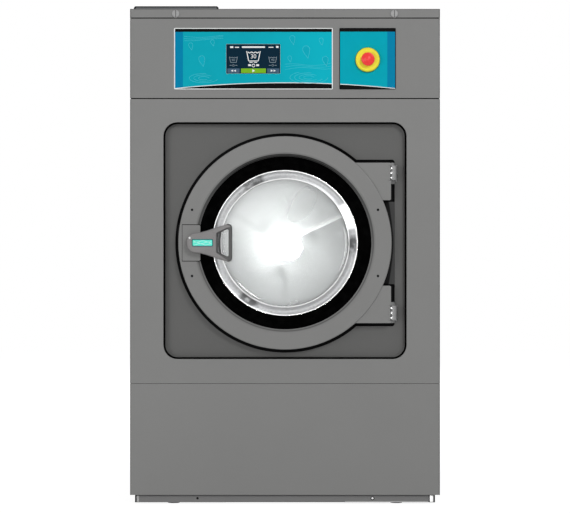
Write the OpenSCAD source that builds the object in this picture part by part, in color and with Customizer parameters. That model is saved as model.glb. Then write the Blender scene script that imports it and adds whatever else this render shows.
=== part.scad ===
// Front-loading industrial washing machine on a rigid base frame.
// Millimetres, +Z up, front towards -Y, origin on the floor at the middle of the overall footprint.
// "Depth" always means the distance behind the cabinet's front plane.

/* [Cabinet] */
// Width over the side panels
cab_w = 884; // [868:2:960]
// Depth from the front plane to the rear panel
cab_d = 1000; // [1000:5:1120]
// Thickness of the cabinet sheet
sheet = 1.5; // [1:0.5:2.5]
// Thickness of the rear panel, which carries the pipes
rear_t = 2; // [2:0.5:3]
// Height of the floor pads
pad_h = 3; // [3:1:12]
// Height of the base frame that shows below the panels
plinth_h = 22; // [14:1:40]
// Height of the lower front panel
lower_h = 318; // [300:2:360]
// Height of the front panel round the door
door_panel_h = 813; // [790:1:860]
// Height of the control fascia
fascia_h = 228; // [205:1:280]
// Height of the top cover's lip
lip_h = 28; // [26:1:40]
// Gap below and above the control fascia
seam = 3; // [1:0.5:4]
// Gap above the lower front panel
lower_seam = 1; // [0.5:0.5:3]
// Length of the returned edges of the front panels
return_len = 19; // [16:1:24]

/* [Recess round the door] */
// Width of the rounded opening in the front panel
recess_w = 694; // [684:2:760]
// Height of the rounded opening
recess_h = 676; // [668:2:700]
// Corner radius of the opening
recess_r = 40; // [24:2:70]
// Depth of the flat bottom of the recess
recess_depth = 22; // [18:1:25]
// Width of the sloping wall of the recess
recess_slope = 8; // [6:1:14]
// Gap between the door and the cut-out behind it
door_gap = 10; // [8:1:12]

/* [Door] */
// Height of the drum and door axis above the floor
axis_z = 744; // [738:1:752]
// Outer radius of the door ring
door_r = 304; // [298:1:310]
// Inner radius of the door ring's flat face
eye_r = 258; // [256:1:262]
// How far the door ring stands in front of the cabinet
door_proud = 12; // [10:1:20]
// Radius of the window that shows inside the black seal
window_r = 208; // [200:1:212]
// Depth of the glass bowl behind its flange
bowl_depth = 100; // [60:2:110]
// Thickness of the door glass
glass_t = 8; // [6:0.5:10]
// Height of each hinge ear of the door plate
ear_h = 106.5; // [90:0.5:120]
// Height of the hinge ears' outer edges above and below the door axis
ear_top = 228.5; // [220:0.5:234]
// Distance from the hinge pins to the edge of the recess
hinge_inset = 37; // [30:0.5:40]
// Outer radius of the hinge knuckles
knuckle_r = 9.25; // [8:0.25:10]
// Height of one hinge
hinge_h = 41; // [36:1:44]
// Radius of the hinge pins
hinge_pin_r = 4; // [3:0.5:5]

/* [Door handle] */
// Radius of the handle's spindle
spindle_r = 5.5; // [5:0.5:7]
// Length of the handle from its round end to the grip
handle_len = 132; // [115:1:150]
// Height of the grip
grip_h = 107; // [90:1:120]
// Thickness of the grip bar as seen from the front
grip_bar = 10.5; // [9:0.5:14]
// How far the handle stands in front of the cabinet
handle_proud = 42; // [40:1:50]

/* [Drum and tub] */
// Outer radius of the drum
drum_r = 375; // [370:1:380]
// Thickness of the drum sheet
drum_t = 1.5; // [1:0.25:2]
// Length of the drum
drum_len = 610; // [560:5:615]
// Outer radius of the tub
tub_r = 415; // [412:1:418]
// Thickness of the tub sheet
tub_t = 3; // [2:0.5:4]
// Number of lifters in the drum
lifters = 3; // [2:1:4]
// Height of a lifter above the drum wall
lifter_h = 70; // [40:2:80]
// Radius of the drum's mouth
mouth_r = 228; // [224:1:232]

/* [Drive] */
// Outer radius of the drum pulley
big_pulley_r = 241; // [200:1:250]
// Outer radius of the motor pulley
small_pulley_r = 51; // [45:1:60]
// Number of belts
belts = 3; // [1:1:4]
// Radius of the shaft in its bearings
shaft_r = 30; // [26:1:32]
// Number of balls in a bearing
balls = 8; // [7:1:9]
// Sideways place of the motor
motor_x = 250; // [235:1:265]
// Height of the motor's axis
motor_z = 230; // [225:1:240]
// Radius of the motor over its fins
motor_r = 100; // [90:1:104]

/* [Controls] */
// Width of the display plate
display_w = 453; // [430:1:470]
// Height of the display plate and the stop plate
plate_h = 175; // [160:1:190]
// Width of the touch screen
screen_w = 154; // [140:1:180]
// Height of the touch screen
screen_h = 84; // [76:1:100]
// Width of the stop plate
stop_w = 161; // [140:1:165]
// Gap between the display plate and the stop plate
plate_gap = 18.5; // [12:0.5:30]
// Radius of the yellow collar round the stop button
collar_r = 34.5; // [30:0.5:38]
// Radius of the stop button
button_r = 19; // [16:0.5:21]
// Travel of the stop button
button_travel = 4; // [3:0.5:6]
// Radius of the quarter-turn locks in the cover's lip
lock_r = 11; // [9:0.5:12]

/* [Detergent box] */
// Width of the detergent box's lid
box_w = 243; // [220:1:250]
// Depth of the detergent box's lid
box_d = 210; // [180:2:240]
// Number of compartments
compartments = 3; // [2:1:4]
// Height of the detergent box's body
box_h = 122; // [100:2:140]

/* [Connections] */
// Outer radius of the drain pipe
drain_r = 38; // [30:1:40]
// Outer radius of the vent pipe
vent_r = 25; // [20:1:32]
// Outer radius of the water inlet threads
inlet_r = 13.2; // [10:0.1:16]
// How far the drain pipe stands behind the cabinet
rear_reach = 58; // [50:1:80]
// How far the vent pipe stands behind the cabinet
vent_reach = 40; // [30:1:48]
// Radius of the anchor holes in the base frame
anchor_r = 7; // [5:0.5:8]
// Width of the cover over the belts
cover_w = 640; // [600:5:660]
// Height of the cover over the belts
cover_h = 880; // [840:5:900]

/* [Hidden] */
$fn = 96;

steel_grey = [0.51, 0.51, 0.51];
recess_grey = [0.45, 0.45, 0.45];
stainless = [0.76, 0.77, 0.78];
cast_grey = [0.42, 0.44, 0.46];
rubber_black = [0.05, 0.05, 0.05];
plastic_black = [0.09, 0.09, 0.10];
teal = [0.01, 0.63, 0.70];

// Running clearance of a pin or shaft in its bore, and the play between parts that only meet
fit = 0.08;
play = 0.3;

// Heights and the front plane
front = -(cab_d + handle_proud + rear_reach) / 2 + handle_proud;
panel_z = pad_h + plinth_h;
door_panel_z = panel_z + lower_h;
fascia_z = door_panel_z + door_panel_h;
cover_z = fascia_z + fascia_h;
cab_h = cover_z + lip_h;
bend_r = 3;

// Base frame
frame_h = 82;
frame_t = 3;
frame_top = pad_h + frame_h;
frame_half_w = cab_w / 2 - 13.5;
frame_set = 10;
frame_flange = 42;
pad_x = 319;
pad_r = 17;
anchor_x = 350;
anchor_in = frame_set + 23;
notch_x = 169;

// Side and rear panels
side_flange = 30;
side_from = return_len;
side_to = cab_d - rear_t;

// Recess and its cut-out
return_depth = 12;
recess_z = axis_z + 6.6;
cutout_r = door_r + door_gap;
hinge_x = recess_w / 2 - hinge_inset;
ear_x = hinge_x - 8;
cutout_x = ear_x + door_gap + 2;
cutout_top = ear_top + door_gap;
hinge_z = ear_top - 29;
hinge_depth = -2;
notch_play = 3;

// Door stack, as depths behind the front plane
ring_t = 3.5;
plate_front = -door_proud + ring_t;
plate_back = plate_front + 4;
skirt_back = 16;
seal_r = eye_r - 12;
plate_bore = eye_r - 1.5;
ring_mid = (door_r + eye_r) / 2;
ring_hole_r = 3;
ring_hole_angle = 19.6;
spindle_x = eye_r + spindle_r + 0.5;
flange_front = 12;
flange_back = flange_front + glass_t;
flange_r = window_r + 18;
seal_back = flange_back + 4;
tub_face = 34;
bowl_corner_r = 30;
bowl_corner_a = 85;

// Handle, as offsets from its spindle
handle_round = 24;
handle_left = 18;
handle_hub_h = 57;
handle_grip = handle_len - handle_left;
handle_window = 73;

// Latch: the cam's reach and the housing that it turns into
housing_left = cutout_r - 7;
cam_reach = housing_left - 8 - spindle_x;
cam_from = 20;
cam_t = 6;

// Tub and drum, as depths
tub_front_t = 8;
tub_from = tub_face + tub_front_t;
drum_from = tub_from + 8;
drum_to = drum_from + 12 + drum_len;
tub_to = drum_to + 50;
tub_back_t = 8;
tub_flange_r = tub_r + 13;
opening_r = mouth_r + 8;
housing_from = tub_to + tub_back_t;

// Cradles, pipes through the tub's wall, and the heaters
cradle_depths = [144, 564];
cradle_half_w = cab_w / 2 - 36;
cradle_top = axis_z - 150;
vent_depth = 300;
heater_angles = [14, 25, 36];
heater_r = drum_r + 19;
heater_half = 1.6;
heater_rod_r = 4.5;

// Bearings, seal and shaft
bearing_w = 31;
bearing_r = shaft_r + 35;
ball_r = 10;
pitch_r = shaft_r + 17.5;
front_bearing = housing_from + 20;
rear_bearing = front_bearing + 112;
housing_to = rear_bearing + bearing_w + 2;
hub_r = 75;
housing_flange_r = 135;
pulley_from = housing_to + 17;
belt_pitch = 16;
pulley_w = belts * belt_pitch + 6;
pulley_to = pulley_from + pulley_w;
shaft_to = pulley_to + 4;
small_bore_r = 14;
lighten_at = (big_pulley_r - 26 + shaft_r + 18) / 2;
lighten_r = (big_pulley_r - 26 - shaft_r - 18) / 2 - 22;

// Motor, with its length given as depths
motor_from = 650;
motor_to = pulley_from - 20;
motor_base = motor_z - motor_r - 14;
fins = 36;

// Belts: outer and inner offsets from the pulley's rim, and widths there
belt_out = -1;
belt_in = -11;
belt_out_w = 12.6;
belt_in_w = 8.6;
groove_depth = 13;

// Lids, locks and buttons
lid_z = cab_h + 3;
lid_top = lid_z + 9;
box_x = -cab_w / 2 + 8;
box_from = 40;
lid_hinge_depth = box_from + box_d + 7;
lid_hinge_z = lid_z + 5;
lid_pin_r = 3;
lock_x = 312;
lock_z = cover_z + lip_h / 2;
plate_t = 1.5;
display_x = -90;
stop_x = display_x + display_w / 2 + plate_gap + stop_w / 2;
screen_x = -90.5;
plates_z = fascia_z + 113.5;
screen_z = plates_z - 0.5;
button_z = plates_z - 3.5;
stem_r = 8;

// Connections
inlet_x = [for (i = [0 : 2]) box_x + 64 + 58 * i];
inlet_z = cab_h - 67;
vent_x = 60;
vent_z = cab_h - 122;
drain_x = -60;
drain_z = 130;
drain_depth = tub_to - 82;
cover_mid = 620;
mains_x = 255;
mains_z = cab_h - 122;
drop_x = box_x + box_w / 2;
drop_depth = box_from + box_d / 2;
drop_r = 23;
drop_low = axis_z + sqrt(tub_r * tub_r - pow(abs(drop_x) - drop_r - 4, 2)) + 3;

// A point list along an arc, and outlines made from arcs
function arc(x, y, r, from, to, n = 6) =
  [for (i = [0 : n]) let (a = from + (to - from) * i / n) [x + r * cos(a), y + r * sin(a)]];
function rounded(w, h, r, n = 8) = let (a = w / 2 - r, b = h / 2 - r) concat(
  arc(a, b, r, 0, 90, n), arc(-a, b, r, 90, 180, n), arc(-a, -b, r, 180, 270, n), arc(a, -b, r, 270, 360, n));
function folded(len, a, b, t = sheet, r = bend_r, n = 4) = concat(
  [[0, a]], arc(r, r, r, 180, 270, n), arc(len - r, r, r, 270, 360, n), [[len, b], [len - t, b]],
  arc(len - r, r, r - t, 360, 270, n), arc(r, r, r - t, 270, 180, n), [[t, a]]);
function swapped(p) = [for (q = p) [q[1], q[0]]];
function downward(p) = [for (q = p) [q[0], -q[1]]];

// A flat shape in the X-Z plane, extruded backwards from a depth
module upright(depth, t) {
  translate([0, front + depth + t, 0]) rotate([90, 0, 0]) linear_extrude(t) children();
}
// A section given as radius and depth, turned about the drum axis or about a parallel one
module turned(x = 0, z = axis_z) {
  translate([x, front, z]) rotate([-90, 0, 0]) rotate_extrude() children();
}
module rod_y(x, z, r, from, to) {
  translate([x, front + from, z]) rotate([-90, 0, 0]) cylinder(r = r, h = to - from);
}
module rod_z(x, depth, r, from, to) {
  translate([x, front + depth, from]) cylinder(r = r, h = to - from);
}
module rod_x(from, to, depth, z, r) {
  translate([from, front + depth, z]) rotate([0, 90, 0]) cylinder(r = r, h = to - from);
}
module block(x0, x1, d0, d1, z0, z1) {
  translate([x0, front + d0, z0]) cube([x1 - x0, d1 - d0, z1 - z0]);
}
// A quarter bend in the Y-Z plane, about a centre given as depth and height
module elbow(x, depth, z, bend, r, turn) {
  translate([x, front + depth, z]) rotate([0, 90, 0]) rotate([0, 0, turn])
    rotate_extrude(angle = 90) translate([bend, 0]) circle(r = r);
}
module both_sides() {
  children();
  mirror([1, 0, 0]) children();
}

// Base: channels welded into a rectangle, with two cross members
module channel_x(half, d0, toward) {
  block(-half, half, toward > 0 ? d0 : d0 - frame_t, toward > 0 ? d0 + frame_t : d0, pad_h, frame_top);
  for (z = [pad_h, frame_top - frame_t])
    block(-half, half, toward > 0 ? d0 : d0 - frame_flange, toward > 0 ? d0 + frame_flange : d0, z,
      z + frame_t);
}
module base_frame() {
  back = cab_d - frame_set - 2;
  color(steel_grey) difference() {
    union() {
      channel_x(frame_half_w, frame_set, 1);
      channel_x(frame_half_w, back, -1);
      both_sides() {
        block(frame_half_w - frame_t, frame_half_w, frame_set, back, pad_h, frame_top);
        for (z = [pad_h, frame_top - frame_t])
          block(frame_half_w - frame_flange, frame_half_w, frame_set, back, z, z + frame_t);
      }
      for (d = [cradle_depths[0], cradle_depths[1], motor_from + 20, motor_to - 60])
        block(-frame_half_w + frame_t, frame_half_w - frame_t, d - 20, d + 20, frame_top - 40, frame_top);
    }
    block(-notch_x, notch_x, frame_set - 1, frame_set + frame_t, pad_h - 1, pad_h + 2);
    for (x = [-250, 250]) rod_y(x, pad_h + 11.5, 3, frame_set - 1, frame_set + frame_t + 1);
    for (x = [-anchor_x, anchor_x], d = [anchor_in, back + frame_set - anchor_in]) {
      rod_z(x, d, anchor_r, pad_h - 1, pad_h + frame_t + 1);
      rod_z(x, d, anchor_r + 8, frame_top - frame_t - 1, frame_top + 1);
    }
    for (x = [-pad_x, pad_x], d = [anchor_in, back + frame_set - anchor_in])
      rod_z(x, d, 5 + play, pad_h - 1, pad_h + frame_t + 1);
  }
}
module floor_pads() {
  back = cab_d - 2;
  color(cast_grey) for (x = [-pad_x, pad_x], d = [anchor_in, back - anchor_in]) {
    rod_z(x, d, pad_r, 0, pad_h);
    rod_z(x, d, 5, pad_h - 1, pad_h + 20);
  }
}

// Cabinet sheets
module folded_front(z0, h) {
  translate([-cab_w / 2, front, z0]) linear_extrude(h) polygon(folded(cab_w, return_len, return_len));
}
module side_panel() {
  difference() {
    union() {
      translate([-cab_w / 2, front + side_from, panel_z]) linear_extrude(cover_z - panel_z)
        polygon(swapped(folded(side_to - side_from, side_flange, side_flange)));
      for (z = [frame_top, cover_z - sheet])
        block(-cab_w / 2 + sheet / 2, -cab_w / 2 + side_flange, side_from + 1, side_to - 1, z, z + sheet);
    }
    block(-cab_w / 2 + sheet, -cab_w / 2 + side_flange + 1, side_from - 1, side_to + 1, panel_z - 1,
      frame_top);
  }
}
// The left panel's top edge is notched for the detergent box
module left_side_panel() {
  color(steel_grey) difference() {
    side_panel();
    block(box_x + 2, -cab_w / 2 + side_flange + 1, box_from + 2, box_from + box_d - 2, cover_z - 3,
      cover_z + 1);
  }
}
module right_side_panel() {
  color(steel_grey) mirror([1, 0, 0]) side_panel();
}
module front_panel() {
  h = door_panel_h - lower_seam / 2 - seam / 2;
  color(steel_grey) difference() {
    union() {
      folded_front(door_panel_z + lower_seam / 2, h);
      upright(0, return_depth) translate([0, recess_z])
        polygon(rounded(recess_w + 2 * sheet, recess_h + 2 * sheet, recess_r + sheet));
    }
    upright(-1, return_depth + 2) translate([0, recess_z]) polygon(rounded(recess_w, recess_h, recess_r));
  }
}
module lower_panel() {
  color(steel_grey) union() {
    folded_front(panel_z, lower_h - lower_seam / 2);
    for (z = [panel_z, panel_z + lower_h - lower_seam / 2 - sheet])
      block(-cab_w / 2 + 2, cab_w / 2 - 2, sheet / 2, 8, z, z + sheet);
  }
}
module recess_shell(grow, back) {
  hull() {
    upright(return_depth - 0.5 + back, 0.5) translate([0, recess_z])
      polygon(rounded(recess_w + 2 * grow, recess_h + 2 * grow, recess_r + grow));
    upright(recess_depth - 0.5 + back, 0.5) translate([0, recess_z])
      polygon(rounded(recess_w - 2 * recess_slope + 2 * grow, recess_h - 2 * recess_slope + 2 * grow,
        recess_r + grow));
  }
}
module door_cutout() {
  union() {
    translate([0, axis_z]) circle(r = cutout_r, $fn = 128);
    translate([cutout_x / 2 + 60, axis_z]) polygon(rounded(cutout_x - 120, 2 * cutout_top, 8));
    for (s = [-1, 1]) translate([cutout_x - 10, axis_z + s * hinge_z - hinge_h / 2 - notch_play])
      square([hinge_x + knuckle_r + notch_play - cutout_x + 10, hinge_h + 2 * notch_play]);
  }
}
module door_surround() {
  color(recess_grey) difference() {
    union() {
      recess_shell(0, sheet);
      upright(return_depth, sheet) translate([0, recess_z])
        polygon(rounded(recess_w + 30, recess_h + 30, recess_r + 15));
    }
    recess_shell(0, -0.01);
    upright(-5, 60) door_cutout();
  }
}
module control_fascia() {
  color(steel_grey) difference() {
    union() {
      folded_front(fascia_z + seam / 2, fascia_h - seam / 2);
      block(-cab_w / 2 + 2, cab_w / 2 - 2, sheet / 2, return_len, cover_z - sheet, cover_z);
      block(-cab_w / 2 + 2, cab_w / 2 - 2, return_len - sheet, return_len, cover_z - 12, cover_z);
    }
    upright(-1, 4) translate([screen_x, screen_z]) polygon(rounded(screen_w + 16, screen_h + 16, 4));
    rod_y(stop_x, button_z, stem_r + 4, -1, 4);
  }
}
module rear_panel() {
  h = cover_z - frame_top;
  color(steel_grey) difference() {
    upright(cab_d - rear_t, rear_t) translate([0, frame_top + h / 2]) polygon(rounded(cab_w - 4, h, 6));
    upright(cab_d - rear_t - 1, rear_t + 2) translate([0, cover_mid])
      polygon(rounded(cover_w - 30, cover_h - 30, 12));
    for (x = inlet_x) rod_y(x, inlet_z, inlet_r + 1, cab_d - 5, cab_d + 1);
    rod_y(vent_x, vent_z, vent_r + 1, cab_d - 5, cab_d + 1);
    rod_y(drain_x, drain_z, drain_r + 1, cab_d - 5, cab_d + 1);
    rod_y(mains_x, mains_z, 12, cab_d - 5, cab_d + 1);
    rod_y(mains_x, mains_z - 65, 11, cab_d - 5, cab_d + 1);
    louvres(-330, cover_z - 200, 5);
  }
}
module louvres(x, z, rows) {
  for (i = [0 : rows - 1])
    upright(cab_d - rear_t - 1, rear_t + sheet + 2) translate([x, z - 18 * i])
      polygon(rounded(110, 6, 2.9, 4));
}
module belt_cover() {
  color(steel_grey) difference() {
    upright(cab_d, sheet) translate([0, cover_mid]) polygon(rounded(cover_w, cover_h, 16));
    for (x = [-160, 0, 160]) {
      louvres(x, cover_mid + 400, 6);
      louvres(x, cover_mid - 300, 6);
    }
  }
}
module top_cover() {
  color(steel_grey) difference() {
    union() {
      translate([-cab_w / 2, front, cab_h]) rotate([90, 0, 90]) linear_extrude(cab_w)
        polygon(downward(folded(cab_d, lip_h - seam, lip_h)));
      both_sides() block(cab_w / 2 - sheet, cab_w / 2, bend_r, cab_d - bend_r, cover_z, cab_h - 0.5);
    }
    block(box_x + 3, box_x + box_w - 3, box_from + 3, box_from + box_d - 3, cab_h - 5, cab_h + 1);
    for (x = [-lock_x, lock_x]) rod_y(x, lock_z, lock_r - 2, -1, sheet + 1);
  }
}

// Control fascia: plates, screen, stop switch and the electronics behind
module display_plate() {
  color(teal) difference() {
    upright(-plate_t, plate_t) translate([display_x, plates_z]) polygon(rounded(display_w, plate_h, 3));
    upright(-plate_t - 1, plate_t + 2) translate([screen_x, screen_z])
      polygon(rounded(screen_w, screen_h, 1.5));
  }
}
module touch_screen() {
  color(plastic_black) union() {
    upright(-plate_t + 0.4, plate_t) translate([screen_x, screen_z])
      polygon(rounded(screen_w - 2 * play, screen_h - 2 * play, 1.5));
    upright(0.4, 5) translate([screen_x, screen_z]) polygon(rounded(screen_w + 10, screen_h + 10, 3));
  }
}
module stop_plate() {
  color(teal) difference() {
    upright(-plate_t, plate_t) translate([stop_x, plates_z]) polygon(rounded(stop_w, plate_h, 3));
    rod_y(stop_x, button_z, stem_r + 4, -plate_t - 1, 1);
  }
}
module stop_collar() {
  color("gold") turned(stop_x, button_z) polygon(concat(
    [[stem_r + fit, -plate_t], [stem_r + fit, -14], [stem_r + 8, -14]],
    arc(collar_r - 6, -9, 6, 250, 360, 6), [[collar_r, -plate_t]]));
}
module control_unit() {
  color(cast_grey) {
    block(screen_x - screen_w / 2 - 18, screen_x + screen_w / 2 + 18, 5.4 + play, 42,
      screen_z - screen_h / 2 - 20, screen_z + screen_h / 2 + 20);
    difference() {
      block(stop_x - 20, stop_x + 20, sheet, 46, button_z - 20, button_z + 20);
      rod_y(stop_x, button_z, stem_r + fit, 0, 14 + button_travel + 1);
    }
  }
}
module stop_stem() {
  color(plastic_black) rod_y(stop_x, button_z, stem_r, -24, 14);
}
module stop_button() {
  color("red") turned(stop_x, button_z) polygon(concat(
    [[0, -24], [button_r - 5, -24], [button_r - 1, -25.5]], arc(button_r - 4, -29, 4, 30, -50, 5),
    [[button_r * 0.55, -35.2], [button_r * 0.25, -36], [0, -36.2]]));
}
module quarter_lock(x) {
  color(stainless) difference() {
    union() {
      turned(x, lock_z) polygon([[0, -3], [lock_r - 1.5, -3], [lock_r, -1.5], [lock_r, 0],
        [lock_r - 2 - fit, 0],
        [lock_r - 2 - fit, return_len + 5], [0, return_len + 5]]);
      upright(return_len + 0.5, 3) polygon(concat(arc(x, lock_z, 7, 0, 180, 8),
        arc(x, lock_z - 24, 7, 180, 360, 8)));
    }
    block(x - 1.1, x + 1.1, -4, -1.2, lock_z - lock_r, lock_z + lock_r);
  }
}
module left_lock() {
  quarter_lock(-lock_x);
}
module right_lock() {
  quarter_lock(lock_x);
}

// Detergent box with its compartments, and its lid
module soap_box() {
  inner_w = box_w - 14;
  cell = (inner_w - 2 * (compartments - 1)) / compartments;
  color(plastic_black) difference() {
    union() {
      block(box_x, box_x + box_w, box_from, box_from + box_d, cab_h, lid_z);
      block(box_x + 4, box_x + box_w - 4, box_from + 4, box_from + box_d - 4, lid_z - box_h, lid_z);
      rod_z(drop_x, drop_depth, drop_r, lid_z - box_h - 28, lid_z - box_h + 1);
      for (x = inlet_x) rod_y(x, inlet_z, 6, box_from + box_d - 6, box_from + box_d + 18);
      for (x = [box_x + 30, box_x + box_w - 38]) {
        block(x, x + 8, box_from + box_d - 1, lid_hinge_depth + 5, cab_h, lid_z);
        block(x, x + 8, lid_hinge_depth - 5, lid_hinge_depth + 5, cab_h, lid_hinge_z);
        rod_x(x, x + 8, lid_hinge_depth, lid_hinge_z, 5);
      }
    }
    for (i = [0 : compartments - 1])
      block(box_x + 7 + i * (cell + 2), box_x + 7 + i * (cell + 2) + cell, box_from + 7, box_from + box_d - 7,
        lid_z - box_h + 12, lid_z + 1);
    for (i = [0 : compartments - 1])
      rod_z(box_x + 7 + i * (cell + 2) + cell / 2, drop_depth, 7, lid_z - box_h + 5, lid_z - box_h + 13);
    block(box_x + 9, box_x + box_w - 9, drop_depth - 16, drop_depth + 16, lid_z - box_h + 3,
      lid_z - box_h + 9);
    rod_z(drop_x, drop_depth, drop_r - 3, lid_z - box_h - 29, lid_z - box_h + 6);
    rod_x(box_x, box_x + box_w, lid_hinge_depth, lid_hinge_z, lid_pin_r + fit);
  }
}
module soap_lid() {
  color(plastic_black) difference() {
    union() {
      translate([0, front + box_from + box_d, 0]) rotate([90, 0, 0]) linear_extrude(box_d) polygon([
        [box_x, lid_z + play], [box_x + box_w, lid_z + play], [box_x + box_w, lid_top - 4],
        [box_x + box_w - 4, lid_top], [box_x + 4, lid_top], [box_x, lid_top - 4]]);
      rod_x(box_x + 26, box_x + box_w - 26, lid_hinge_depth, lid_hinge_z, lid_pin_r);
      for (x = [box_x + 42, box_x + box_w - 62])
        block(x, x + 20, box_from + box_d - 3, lid_hinge_depth,
          lid_hinge_z - lid_pin_r + 0.2, lid_hinge_z + lid_pin_r - 0.2);
    }
    block(box_x + 3, box_x + box_w - 3, box_from + 3, box_from + box_d - 3, lid_z - 1, lid_top - 3);
  }
}

// Tub: shell, front and rear plates, and the cradles that carry it
module tub_shell() {
  color(stainless) difference() {
    union() {
      turned() polygon([[tub_r - tub_t, tub_from], [tub_flange_r, tub_from], [tub_flange_r, tub_from + 4],
        [tub_r, tub_from + 4], [tub_r, tub_to - 4], [tub_flange_r, tub_to - 4], [tub_flange_r, tub_to],
        [tub_r - tub_t, tub_to]]);
      difference() {
        union() {
          rod_z(drop_x, drop_depth, drop_r, axis_z + 200, drop_low + 20);
          rod_z(vent_x, vent_depth, vent_r, axis_z + 300, axis_z + tub_r + 26);
          rod_z(drain_x, drain_depth, drain_r, axis_z - tub_r - 22, axis_z - 300);
        }
        rod_y(0, axis_z, tub_r - tub_t / 2, 0, tub_to);
      }
    }
    rod_z(drop_x, drop_depth, drop_r - 3, axis_z + 200, axis_z + tub_r);
    rod_z(vent_x, vent_depth, vent_r - 3, axis_z + 300, axis_z + tub_r + 27);
    rod_z(drain_x, drain_depth, drain_r - 3, axis_z - tub_r - 23, axis_z - 300);
  }
}
module tub_front() {
  color(cast_grey) difference() {
    turned() polygon([[opening_r, tub_face + 1.5], [opening_r + 1.5, tub_face], [tub_flange_r, tub_face],
      [tub_flange_r, tub_from], [opening_r, tub_from]]);
    for (i = [0 : 11]) rod_y((tub_flange_r - 7) * cos(30 * i + 15),
      axis_z + (tub_flange_r - 7) * sin(30 * i + 15),
      3.2, tub_face - 1, tub_from + 1);
  }
}
module tub_back() {
  color(stainless) difference() {
    union() {
      turned() polygon([[hub_r, tub_to], [tub_flange_r, tub_to], [tub_flange_r, housing_from],
        [hub_r, housing_from]]);
      for (i = [0 : 5]) translate([0, front, axis_z]) rotate([0, 60 * i + 30, 0])
        translate([0, housing_from, 0]) rotate([0, 0, 90]) translate([0, -3, 0]) rib_plate();
      turned() polygon([[tub_r - 8, housing_from], [tub_r - 2, housing_from], [tub_r - 2, housing_from + 30],
        [tub_r - 8, housing_from + 30]]);
    }
    for (a = heater_angles) heater_hole(a);
  }
}
// A stiffening rib that tapers outwards from the bearing housing
module rib_plate() {
  translate([0, 6, 0]) rotate([90, 0, 0]) linear_extrude(6)
    polygon([[-1, housing_flange_r + 4], [60, housing_flange_r + 4], [30, tub_r - 5], [-1, tub_r - 5]]);
}
module tub_cradles() {
  color(steel_grey) for (d = cradle_depths) difference() {
    union() {
      upright(d - 4, 8) translate([-cradle_half_w, frame_top])
        square([2 * cradle_half_w, cradle_top - frame_top]);
      block(-cradle_half_w, cradle_half_w, d - 22, d + 22, frame_top, frame_top + 6);
      rod_y(0, axis_z, tub_r + 6, d - 30, d + 30);
    }
    rod_y(0, axis_z, tub_r + play, d - 31, d + 31);
    block(-cab_w, cab_w, d - 31, d + 31, cradle_top, 2 * axis_z);
    for (x = [-240, 0, 240]) rod_y(x, frame_top + 120, 60, d - 5, d + 5);
  }
}

// Drive: housing, bearings, seal, pulleys, belts and motor
module bearing_housing() {
  r = bearing_r;
  color(cast_grey) union() {
    turned() polygon([[r, tub_to], [hub_r - play, tub_to], [hub_r - play, housing_from],
      [housing_flange_r, housing_from], [housing_flange_r, housing_from + 14], [r + 22, housing_from + 18],
      [r + 15, housing_from + 26], [r + 15, housing_to], [r, housing_to], [r, rear_bearing - 0.2],
      [r - 7, rear_bearing - 0.2], [r - 7, front_bearing + bearing_w + 0.2],
        [r, front_bearing + bearing_w + 0.2]]);
    for (i = [0 : 5]) translate([0, front, axis_z]) rotate([0, 60 * i, 0])
      translate([-4, housing_from + 10, r + 10])
      rotate([0, 90, 0]) linear_extrude(8) polygon([[0, 0], [0, 110], [-8, 110], [-48, 0]]);
  }
}
module race(inner, outer, from) {
  turned() difference() {
    translate([inner, from]) square([outer - inner, bearing_w]);
    translate([pitch_r, from + bearing_w / 2]) circle(r = ball_r + play);
  }
}
module shaft_bearings() {
  color(stainless) for (d = [front_bearing, rear_bearing]) {
    race(pitch_r + 6, bearing_r - 0.1, d);
    for (i = [0 : balls - 1]) translate([0, front + d + bearing_w / 2, axis_z])
      rotate([0, 360 * i / balls, 0]) translate([pitch_r, 0, 0]) sphere(r = ball_r);
  }
}
module bearing_inner_races() {
  color(stainless) for (d = [front_bearing, rear_bearing]) race(shaft_r + 0.05, pitch_r - 6, d);
}
module shaft_seal() {
  color(rubber_black) turned() polygon([[shaft_r + 10 + play, tub_to + 4], [bearing_r - 0.1, tub_to + 4],
    [bearing_r - 0.1, front_bearing - 1], [bearing_r - 8, front_bearing - 1], [bearing_r - 8, tub_to + 12],
    [shaft_r + 10 + play, tub_to + 10]]);
}
module drum_shaft() {
  color(stainless) turned() polygon([[0, drum_to + 8], [shaft_r + 2, drum_to + 8], [shaft_r + 2, tub_to - 6],
    [shaft_r + 10, tub_to - 6], [shaft_r + 10, front_bearing - 1], [shaft_r, front_bearing - 1],
    [shaft_r, housing_to + 2], [shaft_r - 5, housing_to + 2], [shaft_r - 5, shaft_to], [0, shaft_to]]);
}
// A V-grooved rim's outline from its front face to its rear face
function grooved(r, from) = concat([[r, from]],
  [for (i = [0 : belts - 1], p = [[-7.3, 0], [-4.6, groove_depth], [4.6, groove_depth], [7.3, 0]])
    [r - p[1], from + 3 + belt_pitch * (i + 0.5) + p[0]]], [[r, from + pulley_w]]);
module drum_pulley() {
  web = pulley_from + pulley_w / 2;
  color(cast_grey) difference() {
    turned() polygon(concat([[shaft_r - 5 + 0.05, pulley_from - 6], [shaft_r + 18, pulley_from - 6],
      [shaft_r + 18, web - 6],
      [big_pulley_r - 26, web - 6], [big_pulley_r - 26, pulley_from]], grooved(big_pulley_r, pulley_from),
      [[big_pulley_r - 26, pulley_to], [big_pulley_r - 26, web + 6], [shaft_r + 18, web + 6],
      [shaft_r + 18, pulley_to], [shaft_r - 5 + 0.05, pulley_to]]));
    for (i = [0 : 5]) rod_y(lighten_at * cos(60 * i), axis_z + lighten_at * sin(60 * i), lighten_r, web - 8,
      web + 8);
  }
}
module motor_pulley() {
  color(cast_grey) turned(motor_x, motor_z) polygon(concat([[small_bore_r + 0.05, pulley_from]],
    grooved(small_pulley_r, pulley_from), [[small_bore_r + 0.05, pulley_to]]));
}
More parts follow.
